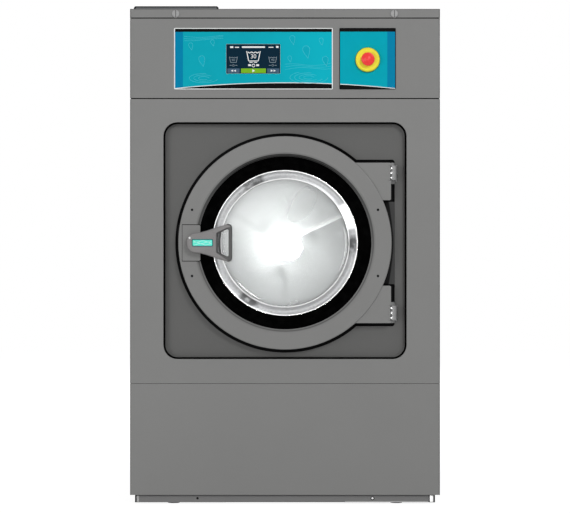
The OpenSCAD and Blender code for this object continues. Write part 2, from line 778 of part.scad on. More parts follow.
// The stations of a belt round both pulleys, at an offset from their rims
function belt_line(off, n1 = 44, n2 = 14) = let (
    c1 = [0, axis_z], c2 = [motor_x, motor_z], d = c2 - c1, phi = atan2(d[1], d[0]),
    al = acos((big_pulley_r - small_pulley_r) / norm(d)))
  concat([for (i = [0 : n1]) let (a = phi + al + (360 - 2 * al) * i / n1) c1 + (big_pulley_r + off) * [cos(a), sin(a)]],
    [for (i = [0 : n2]) let (a = phi - al + 2 * al * i / n2) c2 + (small_pulley_r + off) * [cos(a), sin(a)]]);
module belt(depth) {
  out = belt_line(belt_out);
  in = belt_line(belt_in);
  n = len(out);
  y = front + depth;
  points = [for (i = [0 : n - 1]) each [
    [out[i][0], y - belt_out_w / 2, out[i][1]], [out[i][0], y + belt_out_w / 2, out[i][1]],
    [in[i][0], y + belt_in_w / 2, in[i][1]], [in[i][0], y - belt_in_w / 2, in[i][1]]]];
  faces = [for (i = [0 : n - 1], j = [0 : 3]) let (a = 4 * i + j, b = 4 * i + (j + 1) % 4,
    c = 4 * ((i + 1) % n) + (j + 1) % 4, d = 4 * ((i + 1) % n) + j) each [[a, b, c], [a, c, d]]];
  polyhedron(points = points, faces = faces);
}
module drive_belts() {
  color(rubber_black) for (i = [0 : belts - 1]) belt(pulley_from + 3 + belt_pitch * (i + 0.5));
}
module motor() {
  fin_from = motor_from + 60;
  fin_to = motor_to - 30;
  color("slategray") difference() {
    union() {
      upright(fin_from, fin_to - fin_from) translate([motor_x, motor_z])
        polygon([for (i = [0 : 4 * fins - 1]) let (a = 360 * i / (4 * fins),
          r = i % 4 < 2 ? motor_r : motor_r - 12)
          r * [cos(a), sin(a)]]);
      rod_y(motor_x, motor_z, motor_r - 6, motor_from, fin_from - 12);
      rod_y(motor_x, motor_z, motor_r - 12, fin_from - 13, fin_from + 1);
      rod_y(motor_x, motor_z, motor_r - 8, fin_to - 1, motor_to - 8);
      rod_y(motor_x, motor_z, 40, motor_to - 9, motor_to);
      block(motor_x - 45, motor_x + 45, fin_from + 30, fin_from + 110, motor_z + 60, motor_z + motor_r + 28);
      for (d = [fin_from + 10, fin_to - 40])
        block(motor_x - 78, motor_x + 78, d, d + 30, motor_base, motor_base + 34);
    }
    rod_y(motor_x, motor_z, 62, fin_from + 6, fin_to - 6);
    rod_y(motor_x, motor_z, small_bore_r + fit, motor_from + 30, motor_to + 1);
    rod_y(motor_x, motor_z, 40, motor_from + 8, motor_from + 42);
    for (i = [0 : 7]) rod_y(motor_x + 62 * cos(45 * i), motor_z + 62 * sin(45 * i), 10, motor_from - 1,
      motor_from + 9);
  }
}
module motor_rotor() {
  color(stainless) union() {
    rod_y(motor_x, motor_z, small_bore_r, motor_from + 36, pulley_to + 3);
    rod_y(motor_x, motor_z, 60, motor_from + 70, motor_to - 40);
  }
}
module motor_mount() {
  color(steel_grey) union() {
    block(motor_x - 110, motor_x + 110, motor_from + 50, motor_to - 20, motor_base - 8, motor_base);
    for (x = [motor_x - 104, motor_x + 84])
      block(x, x + 20, motor_from, motor_to - 20, frame_top, motor_base - 7);
    rod_x(motor_x - 140, motor_x - 100, motor_from + 120, motor_base - 14, 5);
  }
}

// Water, heat and electrics
module heater_hole(a) {
  for (s = [-1, 1]) rod_y(heater_r * sin(a + s * heater_half),
    axis_z - heater_r * cos(a + s * heater_half), heater_rod_r + play,
    tub_to - 1, housing_from + 1);
}
module heating_elements() {
  color(stainless) for (a = heater_angles) {
    for (s = [-1, 1]) rod_y(heater_r * sin(a + s * heater_half),
      axis_z - heater_r * cos(a + s * heater_half), heater_rod_r,
      tub_to - 380, housing_from + 26);
    translate([heater_r * sin(a), front + tub_to - 380, axis_z - heater_r * cos(a)]) rotate([0, -a, 0])
      rotate([0, 0, 180]) rotate_extrude(angle = 180) translate([heater_r * sin(heater_half), 0])
        circle(r = heater_rod_r);
    translate([heater_r * sin(a), front + housing_from + play, axis_z - heater_r * cos(a)]) rotate([0, -a, 0])
      translate([-24, 0, -10]) cube([48, 6, 20]);
  }
}
module inlet_valves() {
  color(plastic_black) for (x = inlet_x) {
    difference() {
      union() {
        rod_y(x, inlet_z, inlet_r, cab_d - 12, cab_d + 22);
        rod_y(x, inlet_z, inlet_r + 6, cab_d - 14, cab_d - rear_t);
        block(x - 20, x + 20, cab_d - 62, cab_d - 13, inlet_z - 22, inlet_z + 18);
        rod_y(x, inlet_z, 6, cab_d - 84, cab_d - 61);
      }
      rod_y(x, inlet_z, 9, cab_d - 4, cab_d + 23);
    }
  }
}
module fill_hoses() {
  color([0.75, 0.75, 0.72]) {
    for (x = inlet_x) difference() {
      rod_y(x, inlet_z, 9, box_from + box_d - 2, cab_d - 62.5);
      rod_y(x, inlet_z, 6 + play, box_from + box_d - 3, cab_d - 62);
    }
    difference() {
      rod_z(drop_x, drop_depth, drop_r + 4, drop_low, lid_z - box_h - 0.5);
      rod_z(drop_x, drop_depth, drop_r + play, drop_low - 1, lid_z - box_h);
    }
  }
}
module drain_valve() {
  top = axis_z - tub_r - 2;
  bend = drain_r + 14;
  color(cast_grey) difference() {
    union() {
      rod_z(drain_x, drain_depth, drain_r + 5, top - 50, top - 6);
      rod_z(drain_x, drain_depth, drain_r + 18, top - 88, top - 44);
      block(drain_x - 90, drain_x - 40, drain_depth - 28, drain_depth + 28, top - 96, top - 36);
      rod_z(drain_x, drain_depth, drain_r, drain_z + bend - 6, top - 80);
      elbow(drain_x, drain_depth + bend, drain_z + bend, bend, drain_r + 4, -90);
      rod_y(drain_x, drain_z, drain_r - 1.5, drain_depth + bend - 6, cab_d);
      rod_y(drain_x, drain_z, drain_r, cab_d - 5, cab_d + rear_reach);
    }
    rod_z(drain_x, drain_depth, drain_r + play, top - 24, top - 5);
    rod_z(drain_x, drain_depth, drain_r - 4.5, drain_z + bend - 6, top);
    elbow(drain_x, drain_depth + bend, drain_z + bend, bend, drain_r - 3, -90);
    rod_y(drain_x, drain_z, drain_r - 4.5, drain_depth + bend - 6, cab_d + rear_reach + 1);
  }
}
module vent_pipe() {
  low = axis_z + tub_r + 6;
  bend = vent_r + 14;
  color(plastic_black) difference() {
    union() {
      rod_z(vent_x, vent_depth, vent_r + 3, low, low + 26);
      rod_z(vent_x, vent_depth, vent_r, low + 22, vent_z - bend + 6);
      elbow(vent_x, vent_depth + bend, vent_z - bend, bend, vent_r + 4, 180);
      rod_y(vent_x, vent_z, vent_r - 1, vent_depth + bend - 6, cab_d);
      rod_y(vent_x, vent_z, vent_r, cab_d - 5, cab_d + vent_reach);
    }
    rod_z(vent_x, vent_depth, vent_r + play, low - 1, low + 20.5);
    rod_z(vent_x, vent_depth, vent_r - 3, low, vent_z - bend + 6);
    elbow(vent_x, vent_depth + bend, vent_z - bend, bend, vent_r - 1.5, 180);
    rod_y(vent_x, vent_z, vent_r - 3.5, vent_depth + bend - 6, cab_d + vent_reach + 1);
  }
}
module inverter() {
  x0 = -cradle_half_w;
  color(plastic_black) union() {
    block(x0, x0 + 120, 640, 820, frame_top, frame_top + 230);
    for (i = [0 : 8]) block(x0 + 119, x0 + 148, 650 + 19 * i, 654 + 19 * i, frame_top + 6, frame_top + 220);
  }
}
module mains_box() {
  color(cast_grey) {
    difference() {
      block(mains_x - 75, mains_x + 75, cab_d - 110, cab_d - rear_t, mains_z - 95, mains_z + 55);
      block(mains_x - 72, mains_x + 72, cab_d - 107, cab_d - rear_t - 3, mains_z - 92, mains_z + 52);
      rod_y(mains_x, mains_z, 8 + fit, cab_d - 20, cab_d + 10);
      rod_y(mains_x, mains_z - 65, 10.2, cab_d - 20, cab_d + 10);
    }
    difference() {
      upright(cab_d, 3) translate([mains_x, mains_z]) polygon(rounded(64, 64, 6));
      rod_y(mains_x, mains_z, 8 + fit, cab_d - 1, cab_d + 10);
    }
    difference() {
      union() {
        rod_y(mains_x, mains_z - 65, 10, cab_d - 10, cab_d + 2);
        translate([mains_x, front + cab_d, mains_z - 65]) rotate([-90, 0, 0])
          cylinder(r = 15, h = 8, $fn = 6);
        rod_y(mains_x, mains_z - 65, 12, cab_d + 7, cab_d + 22);
      }
      rod_y(mains_x, mains_z - 65, 7, cab_d - 11, cab_d + 23);
    }
  }
}
module isolator_knob() {
  color("red") union() {
    rod_y(mains_x, mains_z, 8, cab_d - 6, cab_d + 4);
    rod_y(mains_x, mains_z, 22, cab_d + 3.4, cab_d + 12);
    upright(cab_d + 11, 16) translate([mains_x, mains_z]) polygon(rounded(12, 42, 5.9, 5));
  }
}

// Drum: shell, front ring, back, lifters and spider
module drum_shell() {
  color(stainless) turned() polygon([[drum_r - drum_t, drum_from + 12], [drum_r, drum_from + 12],
    [drum_r, drum_to - 10], [drum_r - drum_t, drum_to - 10]]);
}
module drum_front() {
  f = drum_from;
  color(stainless) turned() polygon(concat([[drum_r, f + 12]], arc(drum_r - 5, f + 5, 5, 0, -90, 4),
    arc(mouth_r + 8, f + 8, 8, 270, 180, 5), [[mouth_r, f + 14], [mouth_r + 2, f + 14]],
    arc(mouth_r + 8, f + 8, 6, 180, 270, 5), arc(drum_r - 5, f + 5, 3, -90, 0, 4), [[drum_r - 2, f + 12]]));
}
module drum_back() {
  b = drum_to;
  color(stainless) union() {
    turned() polygon([[drum_r, b - 10], [drum_r, b], [120, b], [86, b - 8], [0, b - 8], [0, b - 10],
      [87, b - 10],
      [121, b - 2], [drum_r - 2, b - 2], [drum_r - 2, b - 10]]);
    for (i = [0 : lifters - 1]) translate([0, front + b, axis_z]) rotate([0, 360 * i / lifters + 90, 0])
      translate([0, 0, 135]) intersection() {
        cylinder(r = 12, h = drum_r - 160);
        translate([-20, -20, 0]) cube([40, 19, drum_r]);
      }
  }
}
// A lifter's folded section, across the drum wall and towards the axis
lifter_half = 55;
lifter_tip = 26;
function lifter_outline(t) = let (foot = sqrt(pow(drum_r - drum_t - play, 2) - pow(lifter_half, 2)),
    top = drum_r - drum_t - lifter_h)
  concat([[lifter_half - t * 1.1, foot]], arc(lifter_tip - 8, top + 8 , 8 - t, -20, -90, 4),
    arc(-lifter_tip + 8, top + 8, 8 - t, 270, 200, 4), [[-lifter_half + t * 1.1, foot]]);
function reversed(p) = [for (i = [len(p) - 1 : -1 : 0]) p[i]];
module drum_lifters() {
  color(stainless) for (i = [0 : lifters - 1]) translate([0, front, axis_z]) rotate([0, 360 * i / lifters, 0])
    rotate([90, 0, 0]) {
      translate([0, 0, -drum_to + 40]) linear_extrude(drum_len - 70)
        polygon(concat(lifter_outline(0), reversed(lifter_outline(2))));
      for (d = [drum_to - 40, drum_to - drum_len + 30]) translate([0, 0, -d]) linear_extrude(2)
        polygon(lifter_outline(0));
    }
}
module drum_spider() {
  b = drum_to;
  color(cast_grey) difference() {
    union() {
      rod_y(0, axis_z, hub_r, b, tub_to - 6.4);
      for (i = [0 : 2]) translate([0, front, axis_z]) rotate([0, 120 * i + 60, 0]) rotate([90, 0, 0]) {
        translate([0, 0, -b - 8]) linear_extrude(8) polygon([[-42, 50], [42, 50], [30, drum_r - 8],
          [-30, drum_r - 8]]);
        translate([0, 0, -b - 30]) linear_extrude(26)
          polygon([[-7, 50], [7, 50], [7, drum_r - 60], [-7, drum_r - 60]]);
      }
    }
    rod_y(0, axis_z, shaft_r + 2.2, b - 1, tub_to);
  }
}

// Door: front ring, hinge plate with its ears, seal, glass, hinges and latch
module door_ring() {
  color(steel_grey) difference() {
    turned() polygon(concat([[door_r, plate_front]], arc(door_r - 3, -door_proud + 3, 3, 0, -90, 5),
      [[eye_r, -door_proud], [seal_r + 0.5, -door_proud + 8], [seal_r + 0.5, -door_proud + 12],
      [seal_r + 1.8, -door_proud + 12], [seal_r + 1.8, -door_proud + 9], [eye_r - 2, plate_front]]));
    ring_holes(-door_proud - 1, plate_front + 1);
    rod_y(-spindle_x, axis_z, spindle_r + 0.5, -door_proud - 1, plate_front + 1);
  }
}
module ring_holes(from, to) {
  for (s = [-1, 1], a = [-ring_hole_angle, ring_hole_angle])
    rod_y(s * ring_mid * cos(a), axis_z + ring_mid * sin(a), ring_hole_r, from, to);
}
module plate_outline(inset) {
  r = door_r - 1 - inset;
  low = ear_top - ear_h;
  union() {
    translate([0, axis_z]) circle(r = r, $fn = 128);
    for (s = [-1, 1]) translate([ear_x / 2 + 90, axis_z + s * (ear_top + low) / 2])
      polygon(rounded(ear_x - 180 - 2 * inset, ear_h - 2 * inset, 4, 4));
  }
}
module door_plate() {
  color(steel_grey) difference() {
    upright(plate_front, skirt_back - plate_front) plate_outline(0);
    upright(plate_back, skirt_back - 3 - plate_back) plate_outline(4);
    rod_y(0, axis_z, plate_bore, plate_front - 1, skirt_back + 1);
    for (s = [-1, 1]) block(hinge_x - knuckle_r - 5, hinge_x, plate_front - 1, skirt_back + 1,
      axis_z + s * hinge_z - hinge_h / 2 - 1.5, axis_z + s * hinge_z + hinge_h / 2 + 1.5);
    ring_holes(plate_front - 1, plate_back + 1);
    rod_y(-spindle_x, axis_z, spindle_r + 0.5, plate_front - 1, skirt_back + 1);
  }
}
// Rubber seal: it hooks behind the plate's bore, holds the glass by its flange and meets the tub's face
module door_seal() {
  rim = eye_r - 0.7;
  waist = eye_r - 9;
  lip = waist - 6;
  color(rubber_black) turned() polygon(concat([[seal_r + 4.3, plate_back], [rim, plate_back], [rim, 7],
    [waist, 10],
    [waist, seal_back]], arc(lip, tub_face - play - 5, 5, 0, 180, 6), [[lip - 7, seal_back],
    [flange_r - 12, seal_back], [flange_r - 12, flange_back + play], [flange_r + play, flange_back + play],
    [flange_r + play, flange_front - play], [window_r + 0.5, flange_front - play],
      [window_r + 0.5, flange_front - 4],
    [window_r + 7, flange_front - 5], [seal_r - 1, 0.4], [seal_r + 2.1, 0.4],
      [seal_r + 2.1, -door_proud + 9]]));
}
// Glass bowl: a flange, a slightly tapered wall, a round corner and a shallow dome that meets it smoothly
module door_glass() {
  low = flange_back + bowl_depth;
  wall = window_r - 1;
  corner = wall - 8 - bowl_corner_r;
  throw = corner / cos(bowl_corner_a);
  corner_depth = low - bowl_corner_r - throw * (1 - sin(bowl_corner_a));
  dome_depth = corner_depth - throw * sin(bowl_corner_a);
  dome_r = throw + bowl_corner_r;
  color([0.8, 0.9, 0.92, 0.4]) turned() polygon(concat(
    [[flange_r, flange_front], [flange_r, flange_back], [wall + 2, flange_back]],
    arc(corner, corner_depth, bowl_corner_r, 0, bowl_corner_a, 6),
    arc(0, dome_depth, dome_r, bowl_corner_a + 1, 90, 4),
    arc(0, dome_depth, dome_r - glass_t, 90, bowl_corner_a + 1, 4),
    arc(corner, corner_depth, bowl_corner_r - glass_t, bowl_corner_a, 0, 6),
    [[wall - glass_t, flange_back], [wall - glass_t + 1, flange_front]]));
}
module latch_plate() {
  left = -292;
  right = -241;
  color(steel_grey) difference() {
    upright(-door_proud - 3, 3) polygon([[left, axis_z - 51], [right - 3, axis_z - 51], [right, axis_z - 48],
      [right, axis_z + 48], [right - 3, axis_z + 51], [left, axis_z + 51]]);
    rod_y(-spindle_x, axis_z, spindle_r + fit, -door_proud - 4, -door_proud + 1);
  }
}
// Hinge knuckles stand in three on each pin: the door carries the middle one
knuckle_h = hinge_h / 3 - play;
module knuckle(z) {
  rod_z(hinge_x, hinge_depth, knuckle_r, z - knuckle_h / 2, z + knuckle_h / 2);
}
module door_hinges() {
  color(stainless) for (s = [-1, 1]) {
    z = axis_z + s * hinge_z;
    difference() {
      union() {
        knuckle(z);
        block(hinge_x - 20, hinge_x, plate_back, hinge_depth + 3, z - knuckle_h / 2, z + knuckle_h / 2);
        block(hinge_x - 48, hinge_x - 18, plate_back, hinge_depth + 3, z - 19, z + 19);
      }
      rod_z(hinge_x, hinge_depth, hinge_pin_r + fit, z - hinge_h, z + hinge_h);
    }
  }
}
module hinge_brackets() {
  color(stainless) for (s = [-1, 1]) {
    z = axis_z + s * hinge_z;
    union() {
      rod_z(hinge_x, hinge_depth, hinge_pin_r, z - hinge_h / 2, z + hinge_h / 2);
      for (k = [-1, 1]) {
        knuckle(z + k * hinge_h / 3);
        block(hinge_x + 1, hinge_x + knuckle_r, hinge_depth, tub_face, z + k * hinge_h / 3 - knuckle_h / 2,
          z + k * hinge_h / 3 + knuckle_h / 2);
      }
      block(hinge_x - 8, hinge_x + 44, tub_face - 6, tub_face, z - 30, z + 30);
    }
  }
}
// The lever as seen from the front, from its round end to the grip, with the spindle as its zero
module handle_face() {
  half = grip_h / 2;
  hub = handle_hub_h / 2;
  difference() {
    polygon(concat(arc(handle_round - handle_left, 4, handle_round, 95, 180, 6),
      arc(handle_round - handle_left, -4, handle_round, 180, 265, 6), [[34, -hub]],
      arc(handle_grip - 11, -half + 11, 11, 248, 360, 6),
      arc(handle_grip - 11, half - 11, 11, 0, 112, 6), [[34, hub]]));
    polygon([[handle_window, 2 - hub], [handle_grip - grip_bar, -half + 15],
      [handle_grip - grip_bar, half - 15],
      [handle_window, hub - 2]]);
  }
}
// The lever as seen from above: thick at the spindle, with room for the fingers behind the grip
module handle_plan() {
  polygon([[-30, -handle_proud + 8], [-16, -handle_proud + 3], [20, -handle_proud + 1],
    [handle_grip, -handle_proud],
    [handle_grip, -handle_proud + 13], [70, -handle_proud + 15], [30, -door_proud - 4],
      [-30, -door_proud - 4]]);
}
module door_handle() {
  color(cast_grey) difference() {
    intersection() {
      upright(-handle_proud, handle_proud) translate([-spindle_x, axis_z]) handle_face();
      translate([-spindle_x, front, axis_z - grip_h]) linear_extrude(2 * grip_h) handle_plan();
    }
    upright(-handle_proud - 1, 2.5) translate([-spindle_x + 30, axis_z]) polygon(rounded(57, 21, 3, 4));
  }
}
module latch_cam() {
  color(stainless) union() {
    rod_y(-spindle_x, axis_z, spindle_r, -door_proud - 4, cam_from + cam_t + 1);
    upright(cam_from, cam_t) translate([-spindle_x, axis_z])
      polygon(concat(arc(0, 0, 10, -70, 70, 6), arc(6 - cam_reach, 0, 6, 110, 250, 6)));
  }
}
module lock_housing() {
  right = spindle_x + 2;
  color(plastic_black) difference() {
    block(-housing_left, -right, skirt_back + 0.8, tub_face, axis_z + 16, axis_z + 50);
    block(-housing_left + 4, -right + 1, cam_from - 0.6, cam_from + cam_t + 1.6, axis_z + 15, axis_z + 46);
  }
}

base_frame();
floor_pads();
left_side_panel();
right_side_panel();
front_panel();
door_surround();
lower_panel();
control_fascia();
display_plate();
touch_screen();
stop_plate();
stop_collar();
top_cover();
soap_box();
rear_panel();
belt_cover();
tub_shell();
tub_front();
tub_back();
tub_cradles();
hinge_brackets();
lock_housing();
bearing_housing();
shaft_bearings();
shaft_seal();
motor();
motor_mount();
drive_belts();
heating_elements();
inlet_valves();
fill_hoses();
drain_valve();
vent_pipe();
inverter();
control_unit();
mains_box();
drum_shell();
drum_front();
drum_back();
drum_lifters();
drum_spider();
drum_shaft();
bearing_inner_races();
drum_pulley();
motor_rotor();
motor_pulley();
door_ring();
door_plate();
door_seal();
door_glass();
latch_plate();
door_hinges();
door_handle();
latch_cam();
stop_stem();
stop_button();
soap_lid();
left_lock();
right_lock();
isolator_knob();
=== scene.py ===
import math

import bmesh
import bpy
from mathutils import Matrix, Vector
from mathutils.geometry import tessellate_polygon


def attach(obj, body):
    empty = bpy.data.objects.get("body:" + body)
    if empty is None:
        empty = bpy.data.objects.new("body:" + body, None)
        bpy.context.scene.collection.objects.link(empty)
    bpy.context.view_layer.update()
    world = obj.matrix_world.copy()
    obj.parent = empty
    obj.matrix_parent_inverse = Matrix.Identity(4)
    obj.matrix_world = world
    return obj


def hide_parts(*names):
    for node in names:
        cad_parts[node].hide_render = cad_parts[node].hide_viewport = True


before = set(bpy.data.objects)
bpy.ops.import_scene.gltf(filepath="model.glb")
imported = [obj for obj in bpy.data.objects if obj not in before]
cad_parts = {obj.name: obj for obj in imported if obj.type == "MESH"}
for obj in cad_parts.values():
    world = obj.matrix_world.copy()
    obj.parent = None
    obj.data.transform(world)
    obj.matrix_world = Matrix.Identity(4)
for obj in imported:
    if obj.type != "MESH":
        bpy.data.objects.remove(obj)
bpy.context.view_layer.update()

# Shapes are written in millimetres as (x, depth, z): depth is the distance behind the cabinet's front plane.
MM = 0.001
FRONT = -508.0  # that plane's y
AXIS = 744.0  # height of the drum's axis, which lies at x = 0
LEVER_X = -264.0  # spindle of the door's lever
SCREEN = -90.5, 1269.0  # middle of the touch screen
BUTTON = 235.5, 1266.0  # middle of the stop button
WHITE, SHADE = 1.0, 0.4  # the room as it is seen, and as it lights the object
collection = bpy.context.scene.collection


# ---------------------------------------- shapes
def circle(u, v, r, n):
    """Points of a circle about (u, v), counter-clockwise."""
    return [(u + r * math.cos(2 * math.pi * i / n), v + r * math.sin(2 * math.pi * i / n)) for i in range(n)]


def arc(u, v, r, a, b, n=8):
    """Points on an arc about (u, v), from angle a to angle b in degrees."""
    steps = [math.radians(a + (b - a) * i / n) for i in range(n + 1)]
    return [(u + r * math.cos(t), v + r * math.sin(t)) for t in steps]


def rounded(u, v, w, h, r, n=6):
    """Outline of a rectangle about (u, v) with rounded corners."""
    a, b = w / 2 - r, h / 2 - r
    return (arc(u + a, v + b, r, 0, 90, n) + arc(u - a, v + b, r, 90, 180, n)
            + arc(u - a, v - b, r, 180, 270, n) + arc(u + a, v - b, r, 270, 360, n))


def spun(profile, x=0.0, z=AXIS, n=128):
    """A closed section of (radius, depth) pairs turned about a line along the depth."""
    points, faces, rows = [], [], []
    turns = [2 * math.pi * i / n for i in range(n)]
    for r, d in profile:
        if r < 1e-6:
            rows.append([len(points)] * n)
            points.append((x, d, z))
        else:
            rows.append(list(range(len(points), len(points) + n)))
            points += [(x + r * math.sin(t), d, z + r * math.cos(t)) for t in turns]
    for a, b in zip(rows, rows[1:] + rows[:1]):
        if a[0] == a[1] and b[0] == b[1]:
            continue
        for i in range(n):
            j = (i + 1) % n
            face = [a[i], a[j], b[j], b[i]]
            faces.append([k for m, k in enumerate(face) if k != face[m - 1]])
    return points, faces


def inset(loop, by):
    """A closed loop moved inwards, to the left of its direction of travel, by a distance."""
    out, n = [], len(loop)
    for i in range(n):
        p, q, r = Vector(loop[i - 1]), Vector(loop[i]), Vector(loop[(i + 1) % n])
        a, b = (q - p).normalized(), (r - q).normalized()
        na, nb = Vector((-a.y, a.x)), Vector((-b.y, b.x))
        m = na + nb
        m = m / max(0.35, m.dot(m) / 2)  # keeps the mitre of a sharp corner short
        out.append((q.x + m.x * by, q.y + m.y * by))
    return out


def area(loop):
    return sum(a[0] * b[1] - b[0] * a[1] for a, b in zip(loop, loop[1:] + loop[:1])) / 2


def slab(loops, near, far, rim=0.5, steps=3, pockets=(), back_rim=None):
    """An outline with holes, given as (x, z) loops, from depth near to depth far, with rounded rims.
    A pocket is (loop, how deep) sunk into the near face."""
    back_rim = rim if back_rim is None else back_rim
    loops = [list(l) if (area(l) > 0) == (k == 0) else list(l)[::-1] for k, l in enumerate(loops)]
    quarter = [math.pi / 2 * i / steps for i in range(steps + 1)] if rim > 0 else [math.pi / 2]
    rows = [(rim * (1 - math.sin(t)), near + rim * (1 - math.cos(t))) for t in quarter]
    if back_rim > 0:
        rows += [(back_rim * (1 - math.cos(t)), far - back_rim * (1 - math.sin(t))) for t in quarter]
    else:
        rows += [(0.0, far)]
    points, faces, fronts, backs = [], [], [], []
    for loop in loops:
        n = len(loop)
        levels = []
        for by, d in rows:
            levels.append(list(range(len(points), len(points) + n)))
            points += [(u, d, v) for u, v in inset(loop, by)]
        for a, b in zip(levels, levels[1:]):
            faces += [[a[i], a[(i + 1) % n], b[(i + 1) % n], b[i]] for i in range(n)]
        fronts.append(levels[0])
        backs.append(levels[-1])
    for loop, deep in pockets:
        loop = list(loop) if area(loop) < 0 else list(loop)[::-1]
        n = len(loop)
        top = list(range(len(points), len(points) + n))
        points += [(u, near, v) for u, v in loop]
        low = list(range(len(points), len(points) + n))
        points += [(u, near + deep, v) for u, v in loop]
        faces += [[top[i], top[(i + 1) % n], low[(i + 1) % n], low[i]] for i in range(n)]
        faces.append(low)
        fronts.append(top)
    for ends in (fronts, backs):
        flat = [k for end in ends for k in end]
        polygons = [[Vector((points[k][0], points[k][2], 0)) for k in end] for end in ends]
        faces += [[flat[a], flat[b], flat[c]] for a, b, c in tessellate_polygon(polygons)]
    return points, faces


def strip(x0, z0, x1, z1, near, far, rim=0.0, steps=3):
    """A flat bar between two corners."""
    return slab([[(x0, z0), (x1, z0), (x1, z1), (x0, z1)]], near, far, rim, steps)


def ribbon(path, wide, near, far):
    """A thin strip along a path of (x, z) points."""
    sides = [], []
    for i, q in enumerate(path):
        a, b = Vector(path[max(0, i - 1)]), Vector(path[min(len(path) - 1, i + 1)])
        way = (b - a).normalized()
        for side, by in zip(sides, (wide / 2, -wide / 2)):
            side.append((q[0] - way.y * by, q[1] + way.x * by))
    return slab([sides[0] + sides[1][::-1]], near, far, 0)


def shaped(shape, function):
    """A shape with each point put through a function of x, depth and z."""
    return [function(*p) for p in shape[0]], shape[1]


def build(name, shapes, looks, body, replaces=(), angle=30):
    """One piece made of shapes: (points, faces) or (points, faces, number of its look)."""
    points, faces, marks = [], [], []
    for shape in shapes:
        start = len(points)
        points += shape[0]
        faces += [[start + k for k in f] for f in shape[1]]
        marks += [shape[2] if len(shape) > 2 else 0] * len(shape[1])
    mesh = bpy.data.meshes.new(name)
    mesh.from_pydata([(x * MM, (d + FRONT) * MM, z * MM) for x, d, z in points], [], faces)
    mesh.polygons.foreach_set("material_index", marks)
    bm = bmesh.new()
    bm.from_mesh(mesh)
    bmesh.ops.recalc_face_normals(bm, faces=bm.faces)
    bm.to_mesh(mesh)
    bm.free()
    mesh.shade_smooth()
    mesh.set_sharp_from_angle(angle=math.radians(angle))
    for look in looks if isinstance(looks, list) else [looks]:
        mesh.materials.append(look)
    obj = bpy.data.objects.new(name, mesh)
    collection.objects.link(obj)
    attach(obj, body)
    if replaces:
        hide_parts(*replaces)


def fixed(name, shapes, look):
    """A piece that stays with the cabinet and replaces nothing."""
    build(name, shapes, look, "cabinet")


# ---------------------------------------- materials
def linear(r, g, b):
    """An 8-bit display colour as linear light."""
    return tuple(c / 12.92 if c <= 0.04045 else ((c + 0.055) / 1.055) ** 2.4 for c in (r / 255, g / 255, b / 255))


